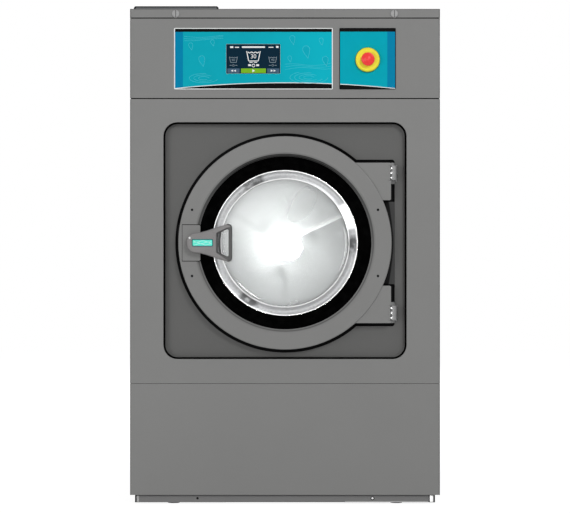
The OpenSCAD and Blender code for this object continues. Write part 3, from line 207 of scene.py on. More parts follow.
class Look:
    """A material with a Principled shader, and short ways to add nodes to it."""

    def __init__(self, name, **sockets):
        self.material = bpy.data.materials.new(name)
        self.material.use_nodes = True
        self.tree = self.material.node_tree
        self.shader = self.tree.nodes["Principled BSDF"]
        for key, value in sockets.items():
            self.shader.inputs[key.replace("_", " ")].default_value = value
        self.place = self.add("ShaderNodeTexCoord").outputs["Object"]

    def add(self, kind, **values):
        node = self.tree.nodes.new(kind)
        for key, value in values.items():
            setattr(node, key, value)
        return node

    def join(self, a, b):
        self.tree.links.new(a, b)

    def noise(self, size, detail=2.0, stretch=None, offset=0.0):
        """Noise whose features are about size metres, pulled out along the axes by stretch."""
        node = self.add("ShaderNodeTexNoise")
        node.inputs["Scale"].default_value = 1 / size
        node.inputs["Detail"].default_value = detail
        source = self.place
        if stretch or offset:
            turn = self.add("ShaderNodeMapping")
            turn.inputs["Scale"].default_value = [1 / s for s in stretch or (1, 1, 1)]
            turn.inputs["Location"].default_value = (offset, offset * 0.7, offset * 0.4)
            self.join(source, turn.inputs["Vector"])
            source = turn.outputs[0]
        self.join(source, node.inputs["Vector"])
        return node.outputs["Fac"]

    def ranged(self, value, low, high, first=0.3, last=0.7):
        node = self.add("ShaderNodeMapRange")
        for key, number in zip(("From Min", "From Max", "To Min", "To Max"), (first, last, low, high)):
            node.inputs[key].default_value = number
        self.join(value, node.inputs["Value"])
        return node.outputs["Result"]

    def maths(self, operation, *values):
        node = self.add("ShaderNodeMath", operation=operation)
        for slot, value in enumerate(values):
            if isinstance(value, (int, float)):
                node.inputs[slot].default_value = value
            else:
                self.join(value, node.inputs[slot])
        return node.outputs[0]

    def plus(self, a, b):
        return self.maths("ADD", a, b)

    def minus(self, a, b):
        return self.maths("SUBTRACT", a, b)

    def times(self, a, b):
        return self.maths("MULTIPLY", a, b)

    def wave(self, angle, start=0.0):
        """Cosine of an angle counted from start degrees."""
        return self.maths("COSINE", self.minus(angle, math.radians(start)) if start else angle)

    def axes(self, source=None):
        """X, Y and Z of the object's coordinates, or of another vector."""
        node = self.add("ShaderNodeSeparateXYZ")
        self.join(self.place if source is None else source, node.inputs[0])
        return node.outputs

    def about_axis(self, source=None):
        """Distances to the right of the drum's axis and above it."""
        x, y, z = self.axes(source)
        return x, self.minus(z, AXIS * MM)

    def radius(self, x, z):
        return self.maths("SQRT", self.plus(self.times(x, x), self.times(z, z)))

    def mix(self, factor, a, b):
        node = self.add("ShaderNodeMix", data_type="RGBA")
        for key, value in (("Factor", factor), ("A", a), ("B", b)):
            socket = [s for s in node.inputs if s.name == key and s.enabled
                      and (key == "Factor" or s.type == "RGBA")][0]
            if isinstance(value, (int, float)):
                socket.default_value = value
            elif isinstance(value, tuple):
                socket.default_value = (*value[:3], 1)
            else:
                self.join(value, socket)
        return [s for s in node.outputs if s.type == "RGBA"][0]

    def relief(self, *layers):
        """Bumps from (height, how deep in metres) pairs."""
        normal = None
        for height, deep in layers:
            node = self.add("ShaderNodeBump")
            node.inputs["Strength"].default_value = 1.0
            node.inputs["Distance"].default_value = deep
            self.join(height, node.inputs["Height"])
            if normal is not None:
                self.join(normal, node.inputs["Normal"])
            normal = node.outputs["Normal"]
        self.join(normal, self.shader.inputs["Normal"])
        return self

    def colour(self, value):
        self.join(value, self.shader.inputs["Base Color"])
        return self

    def rough(self, value):
        self.join(value, self.shader.inputs["Roughness"])
        return self


def tinted(rgb, by):
    return tuple(min(1.0, c * by) for c in rgb)


def coated(name, rgb, rough=0.5, grain=0.0011, deep=0.00003, mottle=0.03, specular=0.4,
           fold_shade=0.0, bevel=None, ears=False, shadow=False):
    """Steel with a fine-textured plastic coating: a leathery grain, faint clouds of tone and a satin sheen.
    Painted shade darkens the coating where the front panels fold back, down the upper half of a bevel inside a radius
    and in a dark line on it, and at the tips of the door's ears; beside the door's ring it is painted as a shadow."""
    look = Look(name, Metallic=0.0, Specular_IOR_Level=specular)
    c = linear(*rgb)
    dark = tinted(c, 0.03)
    cloud = look.noise(0.24, 3)
    speck = look.noise(grain * 0.6, 2, offset=3.1)
    base = look.mix(look.ranged(cloud, 0, 1), tinted(c, 1 - mottle), tinted(c, 1 + mottle))
    fleck = look.mix(look.ranged(speck, 0, 1, 0.35, 0.65), tinted(c, 0.93), tinted(c, 1.07))
    tone = look.mix(0.45, base, fleck)
    # Painted shade where the panels fold back at the sides and at the top
    if fold_shade:
        x, y, z = look.axes()
        side = look.ranged(look.maths("ABSOLUTE", x), 0, 1, 0.4388, 0.4404)
        near = look.ranged(y, 1, 0, -0.5055, -0.5045)
        above = look.ranged(z, 0, 1, 1.4092, 1.4106)
        tone = look.mix(look.times(above, near), tone, tinted(c, 0.5))
        tone = look.mix(look.times(side, near), tone, tinted(c, fold_shade))
    # Painted shade: the tips of the ears go dark
    if ears:
        x, z = look.about_axis()
        tip = look.times(look.ranged(x, 0, 1, 0.3022, 0.3034),
                         look.ranged(look.maths("ABSOLUTE", z), 0, 1, 0.2185, 0.2195))
        tone = look.mix(tip, tone, dark)
    if shadow:
        x, z = look.about_axis()
        rise = look.ranged(look.maths("ABSOLUTE", z), 0, 1, 0.03, 0.117)
        rim = look.minus(look.radius(x, z), look.times(look.times(rise, rise), 0.009))
        tone = look.mix(look.ranged(rim, 1, 0, 0.309, 0.312), tone, dark)
    # Painted shade over the bevel's upper half, and a painted dark line on the bevel
    if bevel:
        x, z = look.about_axis()
        radius = look.radius(x, z)
        within = look.ranged(radius, 1, 0, bevel - 0.0008, bevel)
        high = look.ranged(look.maths("DIVIDE", z, radius), 0.2, 1, -0.2, 0.9)
        edge = look.times(look.ranged(radius, 0, 1, bevel - 0.0055, bevel - 0.004),
                          look.ranged(radius, 1, 0, bevel - 0.003, bevel - 0.0015))
        tone = look.mix(look.times(within, high), tone, dark)
        tone = look.mix(look.times(edge, 0.7), tone, tinted(c, 0.25))
    look.colour(tone)
    look.rough(look.ranged(look.noise(0.12, 2, offset=1.7), rough - 0.025, rough + 0.025, 0.1, 0.9))
    return look.relief((look.noise(grain, 3), deep), (look.noise(0.35, 1, offset=5.0), 0.0004)).material


def brushed(name, rgb, rough=0.28, along=(1, 1, 30), size=0.0006, deep=0.000008, mottle=0.04):
    """Bare metal with fine brush lines along one axis and faint smears."""
    look = Look(name, Metallic=1.0)
    c = linear(*rgb)
    lines = look.noise(size, 2, stretch=along)
    cloud = look.noise(0.12, 3, offset=2.0)
    shade = look.mix(look.ranged(cloud, 0, 1), tinted(c, 1 - mottle), tinted(c, 1 + mottle))
    look.colour(look.mix(look.ranged(lines, 0, 0.5), shade, tinted(c, 0.86)))
    look.rough(look.ranged(look.noise(0.03, 3, offset=4.0), rough - 0.05, rough + 0.07))
    return look.relief((lines, deep)).material


def cast(name, rgb, rough=0.5, metal=0.6, grain=0.0018, deep=0.0001):
    """Cast or sand-blasted metal: a pebbled skin with darker pores."""
    look = Look(name, Metallic=metal)
    c = linear(*rgb)
    skin = look.noise(grain, 4)
    pores = look.ranged(look.noise(grain * 2.3, 2, offset=6.0), 1, 0, 0.3, 0.42)
    base = look.mix(look.ranged(look.noise(0.04, 3, offset=1.0), 0, 1), tinted(c, 0.94), tinted(c, 1.06))
    look.colour(look.mix(look.times(pores, 0.5), base, tinted(c, 0.6)))
    look.rough(look.ranged(skin, rough - 0.08, rough + 0.1))
    return look.relief((skin, deep)).material


def moulded(name, rgb, rough=0.4, grain=0.0007, deep=0.00002, specular=0.5):
    """Injection-moulded plastic: a fine spark-eroded grain and faint flow marks."""
    look = Look(name, Specular_IOR_Level=specular)
    c = linear(*rgb)
    flow = look.noise(0.03, 2, stretch=(1, 1, 4))
    look.colour(look.mix(look.ranged(flow, 0, 1), tinted(c, 0.95), tinted(c, 1.05)))
    look.rough(look.ranged(look.noise(0.012, 3, offset=2.2), rough - 0.05, rough + 0.05))
    return look.relief((look.noise(grain, 2), deep)).material


def rubber(name, rgb, rough=0.6, specular=0.2):
    """Moulded rubber with a dusty bloom."""
    look = Look(name, Specular_IOR_Level=specular)
    c = linear(*rgb)
    bloom = look.noise(0.02, 4)
    look.colour(look.mix(look.ranged(bloom, 0, 0.35, 0.45, 0.8), c, tinted(tuple(x + 0.004 for x in c), 1.5)))
    look.rough(look.ranged(look.noise(0.006, 2, offset=3.0), rough - 0.08, rough + 0.08))
    return look.relief((look.noise(0.0006, 2), 0.00002)).material


def printed(name, rgb, rough=0.32, to=None, across=None, gloss=0.04):
    """Screen-printed film under a clear hard coat, with an even orange peel. The ink fades to another tone along x."""
    look = Look(name, Specular_IOR_Level=gloss)
    c = linear(*rgb)
    base = look.mix(look.ranged(look.noise(0.02, 2), 0, 1), tinted(c, 0.985), tinted(c, 1.015))
    if to:
        uneven = look.times(look.noise(0.11, 2, offset=7), 0.08)
        base = look.mix(look.ranged(look.plus(look.axes()["X"], uneven), 0, 1, *across), base, linear(*to))
    look.colour(base)
    look.rough(look.ranged(look.noise(0.004, 2, offset=1.5), rough - 0.03, rough + 0.03))
    return look.relief((look.noise(0.0012, 2), 0.000006)).material


def rim_steel(name, rgb):
    """Trim ring of drawn stainless: mottled, with painted highlights on its rolled edges, one painted highlight flash
    and three painted dark reflections, as smears that stand like the lifters."""
    look = Look(name, Metallic=1.0)
    c, white = linear(*rgb), (1.0, 1.0, 1.0)
    x, z = look.about_axis()
    radius, turn = look.radius(x, z), look.maths("ARCTAN2", x, z)
    mottle = look.noise(0.006, 3)
    tone = look.mix(look.ranged(mottle, 0, 1), tinted(c, 0.8), tinted(c, 1.1))
    # Painted reflections: three dark smears
    smear = look.times(look.ranged(look.wave(look.times(turn, 3.0), 278), 0, 1, 0.86, 0.95),
                       look.ranged(look.noise(0.02, 3, offset=3.0), 0.1, 0.9, 0.35, 0.55))
    tone = look.mix(smear, tone, tinted(c, 0.2))
    # Painted highlight: one white flash
    tone = look.mix(look.ranged(look.wave(turn, 67), 0, 0.9, 0.978, 0.99), tone, white)
    # Painted highlights on the rolled edges
    edges = look.maths("MAXIMUM", look.ranged(radius, 0, 0.75, 0.2045, 0.2062),
                       look.ranged(radius, 0.4, 0, 0.1838, 0.1852))
    look.colour(look.mix(edges, tone, white))
    look.rough(look.ranged(mottle, 0.27, 0.42))
    return look.relief((mottle, 0.00015), (look.noise(0.05, 2, offset=4.0), 0.0008)).material


def glass(name):
    """Clear polished glass that lets lamps through, with the faintest waviness of a pressing."""
    look = Look(name, Roughness=0.0, IOR=1.47, Transmission_Weight=1.0, Base_Color=(0.97, 0.985, 0.98, 1))
    look.relief((look.noise(0.3, 0), 0.00001))
    path = look.add("ShaderNodeLightPath")
    clear = look.add("ShaderNodeBsdfTransparent")
    clear.inputs[0].default_value = (0.93, 0.95, 0.94, 1)
    both = look.add("ShaderNodeMixShader")
    out = look.tree.nodes["Material Output"]
    look.join(path.outputs["Is Shadow Ray"], both.inputs[0])
    look.join(look.shader.outputs[0], both.inputs[1])
    look.join(clear.outputs[0], both.inputs[2])
    look.join(both.outputs[0], out.inputs["Surface"])
    return look.material


def spun_steel(name, rgb, rough=0.2, drawn=0.0, dish=0.0, painted_light=False):
    """Spun stainless sheet: fine rings about the drum's axis, which draw highlights out into fans.
    Painted light adds a highlight streak along one radius with painted shade beside it, a painted highlight at the
    middle and the light and shade of the drum's mouth."""
    look = Look(name, Metallic=1.0, Anisotropic=drawn)
    if drawn:
        rings = look.add("ShaderNodeTangent", direction_type="RADIAL", axis="Y")
        look.join(rings.outputs[0], look.shader.inputs["Tangent"])
    c, white = linear(*rgb), (1.0, 1.0, 1.0)
    x, z = look.about_axis()
    radius = look.radius(x, z)
    lines = look.add("ShaderNodeTexNoise", noise_dimensions="1D")
    lines.inputs["Scale"].default_value = 1400
    lines.inputs["Detail"].default_value = 2
    look.join(radius, lines.inputs["W"])
    smear = look.noise(0.16, 0, offset=1.0)
    tone = look.mix(look.ranged(smear, 0, 1, 0, 1), tinted(c, 0.93), tinted(c, 1.06))
    tone = look.mix(look.ranged(lines.outputs["Fac"], 0, 0.35), tone, tinted(c, 0.88))
    if painted_light:
        # The painted highlight streak runs out along its turn; past is the distance across it
        turn = math.radians(65)
        out = look.plus(look.times(x, math.sin(turn)), look.times(z, math.cos(turn)))
        past = look.minus(look.times(x, math.cos(turn)), look.times(z, math.sin(turn)))
        reach = look.ranged(out, 0, 1, 0.046, 0.054)
        streak_shade = look.times(look.ranged(past, 1, 0, 0.0, 0.13), look.ranged(past, 0, 1, -0.002, 0.001))
        streak_highlight = look.times(look.ranged(past, 0, 1, -0.02, -0.004), look.ranged(past, 1, 0, -0.002, 0.001))
        streak_highlight = look.times(streak_highlight, look.ranged(out, 0.75, 0.3, 0.06, 0.21))
        vane = look.wave(look.times(look.maths("ARCTAN2", x, z), 3.0))
        # Light and shade from the room keep their place while the drum turns, so they follow the world's axes
        right, up = look.about_axis(look.add("ShaderNodeNewGeometry").outputs["Position"])
        side = look.ranged(look.plus(right, look.times(vane, 0.03)), 1, 0, -0.2, 0.09)
        high = look.ranged(look.minus(up, look.times(right, 0.6)), 0, 0.36, 0.08, 0.165)
        low = look.ranged(look.plus(up, look.times(vane, 0.02)), 0.5, 0, -0.1, 0.04)
        low = look.times(low, look.ranged(right, 1.9, 1, -0.12, 0.0))
        below = look.times(look.ranged(look.wave(look.maths("ARCTAN2", right, up), 145), 0, 1, 0.3, 0.9),
                           look.ranged(radius, 0.65, 0.1, 0.07, 0.15))
        tone = look.mix(side, tinted(c, 0.7), look.mix(0.5, tone, tinted(c, 1.28)))
        tone = look.mix(high, tone, tinted(c, 1.28))
        tone = look.mix(below, tone, tinted(c, 0.27))
        tone = look.mix(low, tone, tinted(c, 0.66))
        # Painted highlight: a white disc at the middle
        tone = look.mix(look.ranged(radius, 0.7, 0, 0.036, 0.048), tone, white)
        tone = look.mix(look.times(streak_shade, look.times(reach, 0.8)), tone, tinted(c, 0.52))
        tone = look.mix(look.times(streak_highlight, reach), tone, white)
    look.colour(tone)
    look.rough(look.ranged(smear, rough - 0.015, rough + 0.035, 0, 1))
    layers = [(lines.outputs["Fac"], 0.000006), (look.noise(0.12, 0, offset=8.0), 0.0006)]
    if dish:
        layers.append((look.times(radius, radius), dish))
    return look.relief(*layers).material


# These coats get painted shade where the panels fold back, on the ring's bevel and at the tips of the ears
steel = coated("coated_steel_look", (133, 133, 132), specular=0.25, fold_shade=0.3)
fascia_steel = coated("fascia_look", (131, 131, 130), specular=0.25, fold_shade=0.3)
# The recess's coat is a darker copy of the panels' grey: painted shade
shaded_recess_steel = coated("recess_look", (100, 100, 99), mottle=0.05, specular=0.2)
ring_steel = coated("ring_look", (131, 131, 130), grain=0.0009, specular=0.25, bevel=0.2545)
plate_steel = coated("plate_look", (131, 131, 130), grain=0.0009, specular=0.25, ears=True)
# The liner's darker grey is painted shade, with a painted shadow beside the door's ring
shaded_liner_steel = coated("liner_look", (74, 74, 74), mottle=0.05, specular=0.1, shadow=True)
frame_steel = coated("frame_look", (118, 118, 118), rough=0.55, grain=0.0016, deep=0.00005)
zinc = brushed("zinc_look", (186, 188, 186), rough=0.38, along=(1, 1, 1), size=0.02, deep=0.00002, mottle=0.12)
stainless = brushed("stainless_look", (205, 206, 208), rough=0.26)
hinge_steel = cast("hinge_look", (132, 132, 132), rough=0.42, metal=0.4, grain=0.0012, deep=0.00005)
lock_steel = cast("lock_look", (148, 148, 148), rough=0.45, metal=0.2, grain=0.0012, deep=0.00003)
polished = brushed("polished_look", (214, 215, 216), rough=0.14, along=(1, 1, 1), size=0.004, deep=0.000004)
drum_steel = spun_steel("drum_look", (204, 205, 207), rough=0.3, drawn=0.5)
back_steel = spun_steel("drum_back_look", (206, 206, 207), rough=0.25, drawn=0.2, dish=0.3, painted_light=True)
wall_steel = brushed("drum_wall_look", (186, 187, 189), rough=0.3, along=(1, 40, 1))
# Near-black coat on the tub front: painted shade, standing in for the dark seen through the door's gap
shade_dark_tub_coat = coated("tub_front_look", (22, 22, 23), rough=0.7, specular=0.06)
cast_grey = cast("cast_look", (112, 116, 119), rough=0.55, metal=0.3)
alloy = cast("alloy_look", (150, 150, 149), rough=0.42, metal=0.55, grain=0.0011, deep=0.00005)
handle_look = cast("handle_look", (128, 126, 126), rough=0.5, metal=0.1, grain=0.0009, deep=0.00003)
grip_look = cast("grip_look", (78, 78, 78), rough=0.5, metal=0.1, grain=0.0009, deep=0.00003)
seal_look = rubber("seal_look", (3, 3, 3), rough=0.8, specular=0.004)
belt_look = rubber("belt_look", (26, 26, 27))
hose_look = rubber("hose_look", (34, 34, 36), rough=0.5)
black = moulded("black_plastic_look", (10, 10, 11), rough=0.5, specular=0.12)
grey_plastic = moulded("grey_plastic_look", (96, 98, 100), rough=0.5)
yellow = moulded("yellow_look", (255, 240, 64), rough=0.4, specular=0.2, grain=0.001, deep=0.00001)
red = moulded("red_look", (255, 62, 60), rough=0.3, specular=0.3, grain=0.001, deep=0.00001)
motor_paint = coated("motor_paint_look", (52, 66, 84), rough=0.4, grain=0.002)
teal = printed("teal_film_look", (10, 170, 188), to=(10, 184, 203), across=(-0.06, 0.14))
teal_plain = printed("teal_plain_look", (0, 170, 190))
teal_light = printed("teal_light_look", (14, 176, 196))
line_light = printed("line_light_look", (92, 206, 220))
blue = printed("blue_strip_look", (0, 134, 176))
ink_black = printed("black_film_look", (5, 5, 6), rough=0.4, gloss=0.05)
ink_white = printed("white_film_look", (242, 244, 244))
screen_look = printed("screen_glass_look", (4, 38, 56), rough=0.2, gloss=0.05)
screen_grey = printed("screen_grey_look", (74, 100, 122), rough=0.2)
screen_green = printed("screen_green_look", (128, 186, 40), rough=0.2)
screen_dim = printed("screen_dim_look", (132, 148, 158), rough=0.2)
label_look = printed("label_look", (106, 255, 210), to=(112, 252, 230), across=(-0.25, -0.2))
label_pale = printed("label_pale_look", (214, 255, 248))
label_dark = printed("label_dark_look", (16, 104, 108))
bowl_glass = glass("bowl_glass_look")

NODE_LOOKS = (
    (frame_steel, "base_frame tub_cradles motor_mount"), (hose_look, "floor_pads fill_hoses"),
    (steel, "left_side_panel right_side_panel front_panel lower_panel"), (shaded_recess_steel, "door_surround"),
    (fascia_steel, "control_fascia top_cover"), (ink_white, "display_plate"), (screen_look, "touch_screen"),
    (ink_black, "stop_plate"), (yellow, "stop_collar"), (grey_plastic, "soap_box drain_valve inverter mains_box"),
    (zinc, "rear_panel belt_cover latch_cam"), (stainless, "tub_shell heating_elements vent_pipe"),
    (shade_dark_tub_coat, "tub_front"), (cast_grey, "tub_back bearing_housing drum_pulley motor_rotor motor_pulley"),
    (hinge_steel, "hinge_brackets door_hinges"), (black, "lock_housing inlet_valves control_unit stop_stem soap_lid"),
    (polished, "shaft_bearings drum_shaft bearing_inner_races"), (seal_look, "shaft_seal door_seal"),
    (motor_paint, "motor"), (belt_look, "drive_belts"), (wall_steel, "drum_shell drum_lifters"),
    (drum_steel, "drum_front drum_back"), (alloy, "drum_spider"), (ring_steel, "door_ring"),
    (plate_steel, "door_plate latch_plate"), (bowl_glass, "door_glass"), (handle_look, "door_handle"),
    (red, "stop_button isolator_knob"), (lock_steel, "left_lock right_lock"),
)
for look, names in NODE_LOOKS:
    for name in names.split():
        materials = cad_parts[name].data.materials
        materials.clear()
        materials.append(look)


# ---------------------------------------- drum
def drum_back():
    """Pressed drum back: a low hub and three wide vanes, each steep on one side, as a height over radius and angle."""
    radii = [0, 20, 40, 50, 54, 58, 62, 66, 70, 76] + list(range(84, 372, 8)) + [370]
    n = 288

    def height(r, a):
        hub = 0.4 * (0.5 + 0.5 * math.cos(math.pi * min(1.0, max(0.0, (r - 50) / 14))))
        vane = 0.0
        for k in range(3):
            away = (a - math.radians(66 + 120 * k) + math.pi) % (2 * math.pi) - math.pi
            if abs(away) < math.pi / 2:
                side = r * math.sin(away)
                wide = 18 + 0.08 * r if side < 0 else 0.62 * r
                run = max(0.0, min(1.0, (r - 62) / 50)) * max(0.0, min(1.0, (362 - r) / 60))
                if abs(side) < wide:
                    vane = 0.9 * (0.5 + 0.5 * math.cos(math.pi * side / wide)) * run * run * (3 - 2 * run)
        return 670 - max(hub, vane)

    points, faces = [(0, 667, AXIS)], []
    for r in radii[1:]:
        for i in range(n):
            a = 2 * math.pi * i / n
            points.append((r * math.sin(a), height(r, a), AXIS + r * math.cos(a)))
    faces += [[0, 1 + i, 1 + (i + 1) % n] for i in range(n)]
    for k in range(len(radii) - 2):
        a, b = 1 + k * n, 1 + (k + 1) * n
        faces += [[a + i, b + i, b + (i + 1) % n, a + (i + 1) % n] for i in range(n)]
    count, rim = len(points), 1 + (len(radii) - 2) * n
    back = [(x, d + 1.6, z) for x, d, z in points]
    faces += [[count + k for k in f[::-1]] for f in faces]
    faces += [[rim + i, rim + (i + 1) % n, count + rim + (i + 1) % n, count + rim + i] for i in range(n)]
    return points + back, faces


def perforated(r0, r1, d0, d1, across, along, hole):
    """A drum wall with staggered round holes, both faces and the holes' edges."""
    ds, dz = 2 * math.pi / across, (d1 - d0) / along
    cell = [(0.5, 0), (0.5, 0.5), (0, 0.5), (-0.5, 0.5), (-0.5, 0), (-0.5, -0.5), (0, -0.5), (0.5, -0.5)]
    points, faces, key = [], [], {}

    def vertex(side, s, d):
        """Index of a point on a cell's outline, shared with its neighbours."""
        k = (side, round(s * 1e5) % round(2 * math.pi * 1e5), round(d * 1e3))
        if k not in key:
            key[k] = len(points)
            r = (r0, r1)[side]
            points.append((r * math.sin(s), d, AXIS + r * math.cos(s)))
        return key[k]

    for j in range(along):
        for i in range(across):
            s = ds * (i + 0.5 * (j % 2))
            d = d0 + dz * (j + 0.5)
            outer = [[vertex(side, s + ds * u, d + dz * v) for u, v in cell] for side in (0, 1)]
            inner = []
            for r in (r0, r1):
                inner.append(list(range(len(points), len(points) + 8)))
                for t in [k * math.pi / 4 for k in range(8)]:
                    a = s + hole / r * math.cos(t)
                    points.append((r * math.sin(a), d + hole * math.sin(t), AXIS + r * math.cos(a)))
            for k in range(8):
                m = (k + 1) % 8
                faces.append([outer[0][k], outer[0][m], inner[0][m], inner[0][k]])
                faces.append([outer[1][m], outer[1][k], inner[1][k], inner[1][m]])
                faces.append([inner[0][k], inner[0][m], inner[1][m], inner[1][k]])
    for d in (d0, d1):
        row = [[vertex(side, ds * i / 2, d) for side in (0, 1)] for i in range(2 * across)]
        faces += [[a[0], b[0], b[1], a[1]] for a, b in zip(row, row[1:] + row[:1])]
    return points, faces


build("drum_back_skin", [drum_back()], back_steel, "drum", ["drum_back"], angle=60)
build("drum_wall_skin", [perforated(373.5, 375, 62, 662, 112, 30, 2.6)], wall_steel, "drum",
      ["drum_shell"])


# ---------------------------------------- door
def bowl():
    """Pressed glass bowl: flange, wall, round corner and shallow dome, 8 mm thick."""
    low, wall, corner, thick = 120.0, 207.0, 30.0, 8.0
    mid = wall - 8 - corner
    throw = mid / math.cos(math.radians(85))
    corner_d = low - corner - throw * (1 - math.sin(math.radians(85)))
    dome_d = corner_d - throw * math.sin(math.radians(85))
    dome_r = throw + corner
    outside = arc(mid, corner_d, corner, 0, 85, 20) + arc(0, dome_d, dome_r, 85.4, 90, 12)
    inside = arc(0, dome_d, dome_r - thick, 90, 85.4, 12) + arc(mid, corner_d, corner - thick, 85, 0, 20)
    outside[-1] = (0.0, outside[-1][1])
    inside[0] = (0.0, inside[0][1])
    section = ([(wall - thick + 3.5, 12), (224, 12)] + arc(224, 14, 2, -90, 0, 4)[1:] + arc(224, 18, 2, 0, 90, 4)
               + [(wall + 5, 20)] + arc(wall + 5, 23, 3, 270, 190, 4) + outside + inside
               + arc(wall - thick + 3.5, 14.5, 2.5, 180, 270, 4)[:-1])
    return spun(section, n=192)


build("door_bowl", [bowl()], bowl_glass, "door", ["door_glass"], angle=50)

lip = [(181, 11.6), (181, 10.2), (181.7, 9.1), (183.2, 8.8), (185.6, 9.4), (190.4, 10.4), (196, 10.6), (202, 10.3),
       (204.6, 9.2), (206.4, 8.5), (207.7, 8.8), (208.2, 9.8), (208.2, 11.6)]
build("bowl_trim", [spun(lip, n=192)], rim_steel("bowl_trim_look", (151, 152, 153)), "door", angle=40)

seal = [(250.3, -4.5), (257.3, -4.5), (257.3, 7), (249, 10), (249, 24)] + arc(243, 28.7, 5, 0, 180, 10)
seal += [(236, 24), (214, 24), (214, 20.3), (226.3, 20.3), (226.3, 11.7), (208.5, 11.7), (208.5, 9.4)]
seal += arc(210.6, 9.2, 2.1, 180, 262, 5) + [(224, 5.4), (225.2, 4.0), (226.6, 5.0), (238.5, 2.9), (239.7, 1.5)]
seal += [(241.1, 2.5), (244.5, 0.9), (248.1, 0.4), (248.1, -3)]
build("door_seal_skin", [spun(seal, n=192)], seal_look, "door", ["door_seal"], angle=40)


def on_lever(x, d, z):
    """A point at depth d behind the lever's front, which leans outwards from the spindle on."""
    return x, -38.6 - 3.4 * min(1.0, max(0.0, (x - LEVER_X + 22) / 100)) + d, z


def lever():
    """Door lever: a tapered body with a label pocket and a trapezoid grip, thinner towards the grip."""
    out = (arc(9, 4, 24, 92, 180, 12) + arc(9, -4, 24, 180, 268, 12) + [(24, -30), (40, -34)]
           + arc(103, -42.5, 11.5, 255, 360, 12) + arc(103, 42.5, 11.5, 0, 105, 12) + [(40, 34), (24, 30)])
    hole = (arc(74.5, -24.5, 2, 180, 250, 4) + arc(100, -34.5, 4, 255, 360, 6) + arc(100, 34.5, 4, 0, 105, 6)
            + arc(74.5, 24.5, 2, 110, 180, 4))
    flat = slab([[(LEVER_X + u, AXIS + v) for u, v in loop] for loop in (out, hole)], 0, 24, 4.2, 6,
                [(rounded(LEVER_X + 30, AXIS, 60, 21, 3), 1.5)], back_rim=2.5)

    def bent(x, w, z):
        """The front leans, and the back steps outwards to leave room for fingers."""
        u = x - LEVER_X
        rear = -16.0 if u < 30 else -16.0 - 11 * (u - 30) / 40 if u < 70 else -27 - 2 * (u - 70) / 44
        return on_lever(x, w, z) if w < 12 else (x, rear - (24 - w), z)

    return shaped(flat, bent)


points, faces = lever()
grip = [all(points[k][0] - LEVER_X > 66 for k in f) for f in faces]
build("door_lever", [(points, [f for f, g in zip(faces, grip) if g == m], int(m)) for m in (False, True)],
      [handle_look, grip_look], "handle", ["door_handle"], angle=40)
# The dark teal rim round the label is painted shade at the edges of its pocket
for name, look, w, h, near in (("lever_label_shadow", label_dark, 59.4, 20.6, 1.0),
                               ("lever_label", label_look, 55.5, 16.6, 0.75)):
    label = slab([rounded(LEVER_X + 30, AXIS, w, h, 2.2)], near, 1.5, 0.25, 2)
    build(name, [shaped(label, on_lever)], look, "handle")
wave_x = [LEVER_X + 5 + i * 0.87 for i in range(59)]
waves = [ribbon([(x, AXIS + k + 2.2 * math.sin((x + 3 * k) / 5.2)) for x in wave_x], 1.1, 0.6, 0.75)
         for k in (-4, 0, 4)]
build("lever_waves", [shaped(wave, on_lever) for wave in waves], label_pale, "handle")
build("lever_pin", [spun([(0, -39.6), (2.4, -39.6), (3.4, -39), (3.6, -37.5), (0, -37.5)], -270, AXIS + 14, 32)], zinc,
      "handle")

cap = [(0, -11.6), (1.4, -11.6), (1.4, -12.3), (3.1, -12.3), (3.6, -12.0), (2.7, -12.0), (2.7, -8.8), (0, -8.8)]
angle = math.radians(19.6)
build("ring_screws", [spun(cap, s * 281 * math.cos(a), AXIS + 281 * math.sin(a), 24)
                      for s in (-1, 1) for a in (-angle, angle)], black, "door")


# ---------------------------------------- trim of the front
# Black rubber for the seams between panels, and as painted shadow for the gaps round the recess, the latch plate and
# under the panels
gap_and_shadow_black = rubber("gap_seal_look", (3, 3, 3), rough=0.8, specular=0.01)
bright_steel = brushed("bright_end_look", (236, 236, 236), rough=0.3, along=(1, 1, 1), size=0.01, deep=0.00001)
dull_steel = cast("dull_end_look", (176, 176, 176), rough=0.5, metal=0.1, grain=0.0012, deep=0.00003)
seams = (342.6, 343.4), (1154.2, 1157.8), (1383.9, 1387.1)
fixed("seam_seals", [strip(-438, a, 438, b, 0.9, 5) for a, b in seams], gap_and_shadow_black)
# A black bead in the recess's edge is painted shadow: it stands for the shadow gap round the recess
fixed("recess_shadow_bead", [slab([rounded(0, 750.6, 693.4, 675.4, 39.7, 10), rounded(0, 750.6, 683.6, 665.6, 35, 10)],
                           3, 11.9, 0.8, 3)], gap_and_shadow_black)
fixed("hinge_side_liner", [slab([rounded(299, AXIS, 62, 236, 4)], 23.6, 25, 0.3, 2)], shaded_liner_steel)
latch_edge = [(-293.2, 691.2), (-243, 691.2), (-239.6, 694.8), (-239.6, 793.2), (-243, 796.8), (-293.2, 796.8)]
# A black outline round the latch plate is the plate's painted edge shadow
build("latch_plate_shadow", [slab([latch_edge], -12.35, -12.0, 0)], gap_and_shadow_black, "door")
for tag, z in (("lower", AXIS - 199.5), ("upper", AXIS + 199.5)):
    build(f"{tag}_hinge_leaf", [slab([rounded(298.1, z, 4.9, 43.4, 0.8, 4)], -8.4, -4.6, 0.5, 2)], plate_steel, "door")
    head = [(0, -9.0), (1.1, -9.0), (1.3, -9.9), (2.3, -9.9), (2.6, -9.4), (2.6, -7.4), (0, -7.4)]
    low, pin, high = [spun(head, 303.6, z + k * 13.667, 20) for k in (-1, 0, 1)]
    fixed(f"{tag}_bracket_screws", [low, high], bright_steel)
    build(f"{tag}_hinge_screw", [pin], bright_steel, "door")

# Front of the base frame: end plates, lower lip and the shadow gap under the panels
fixed("frame_shadow_gap", [strip(-423.5, 22.6, 423.5, 24.9, 9, 10)], gap_and_shadow_black)
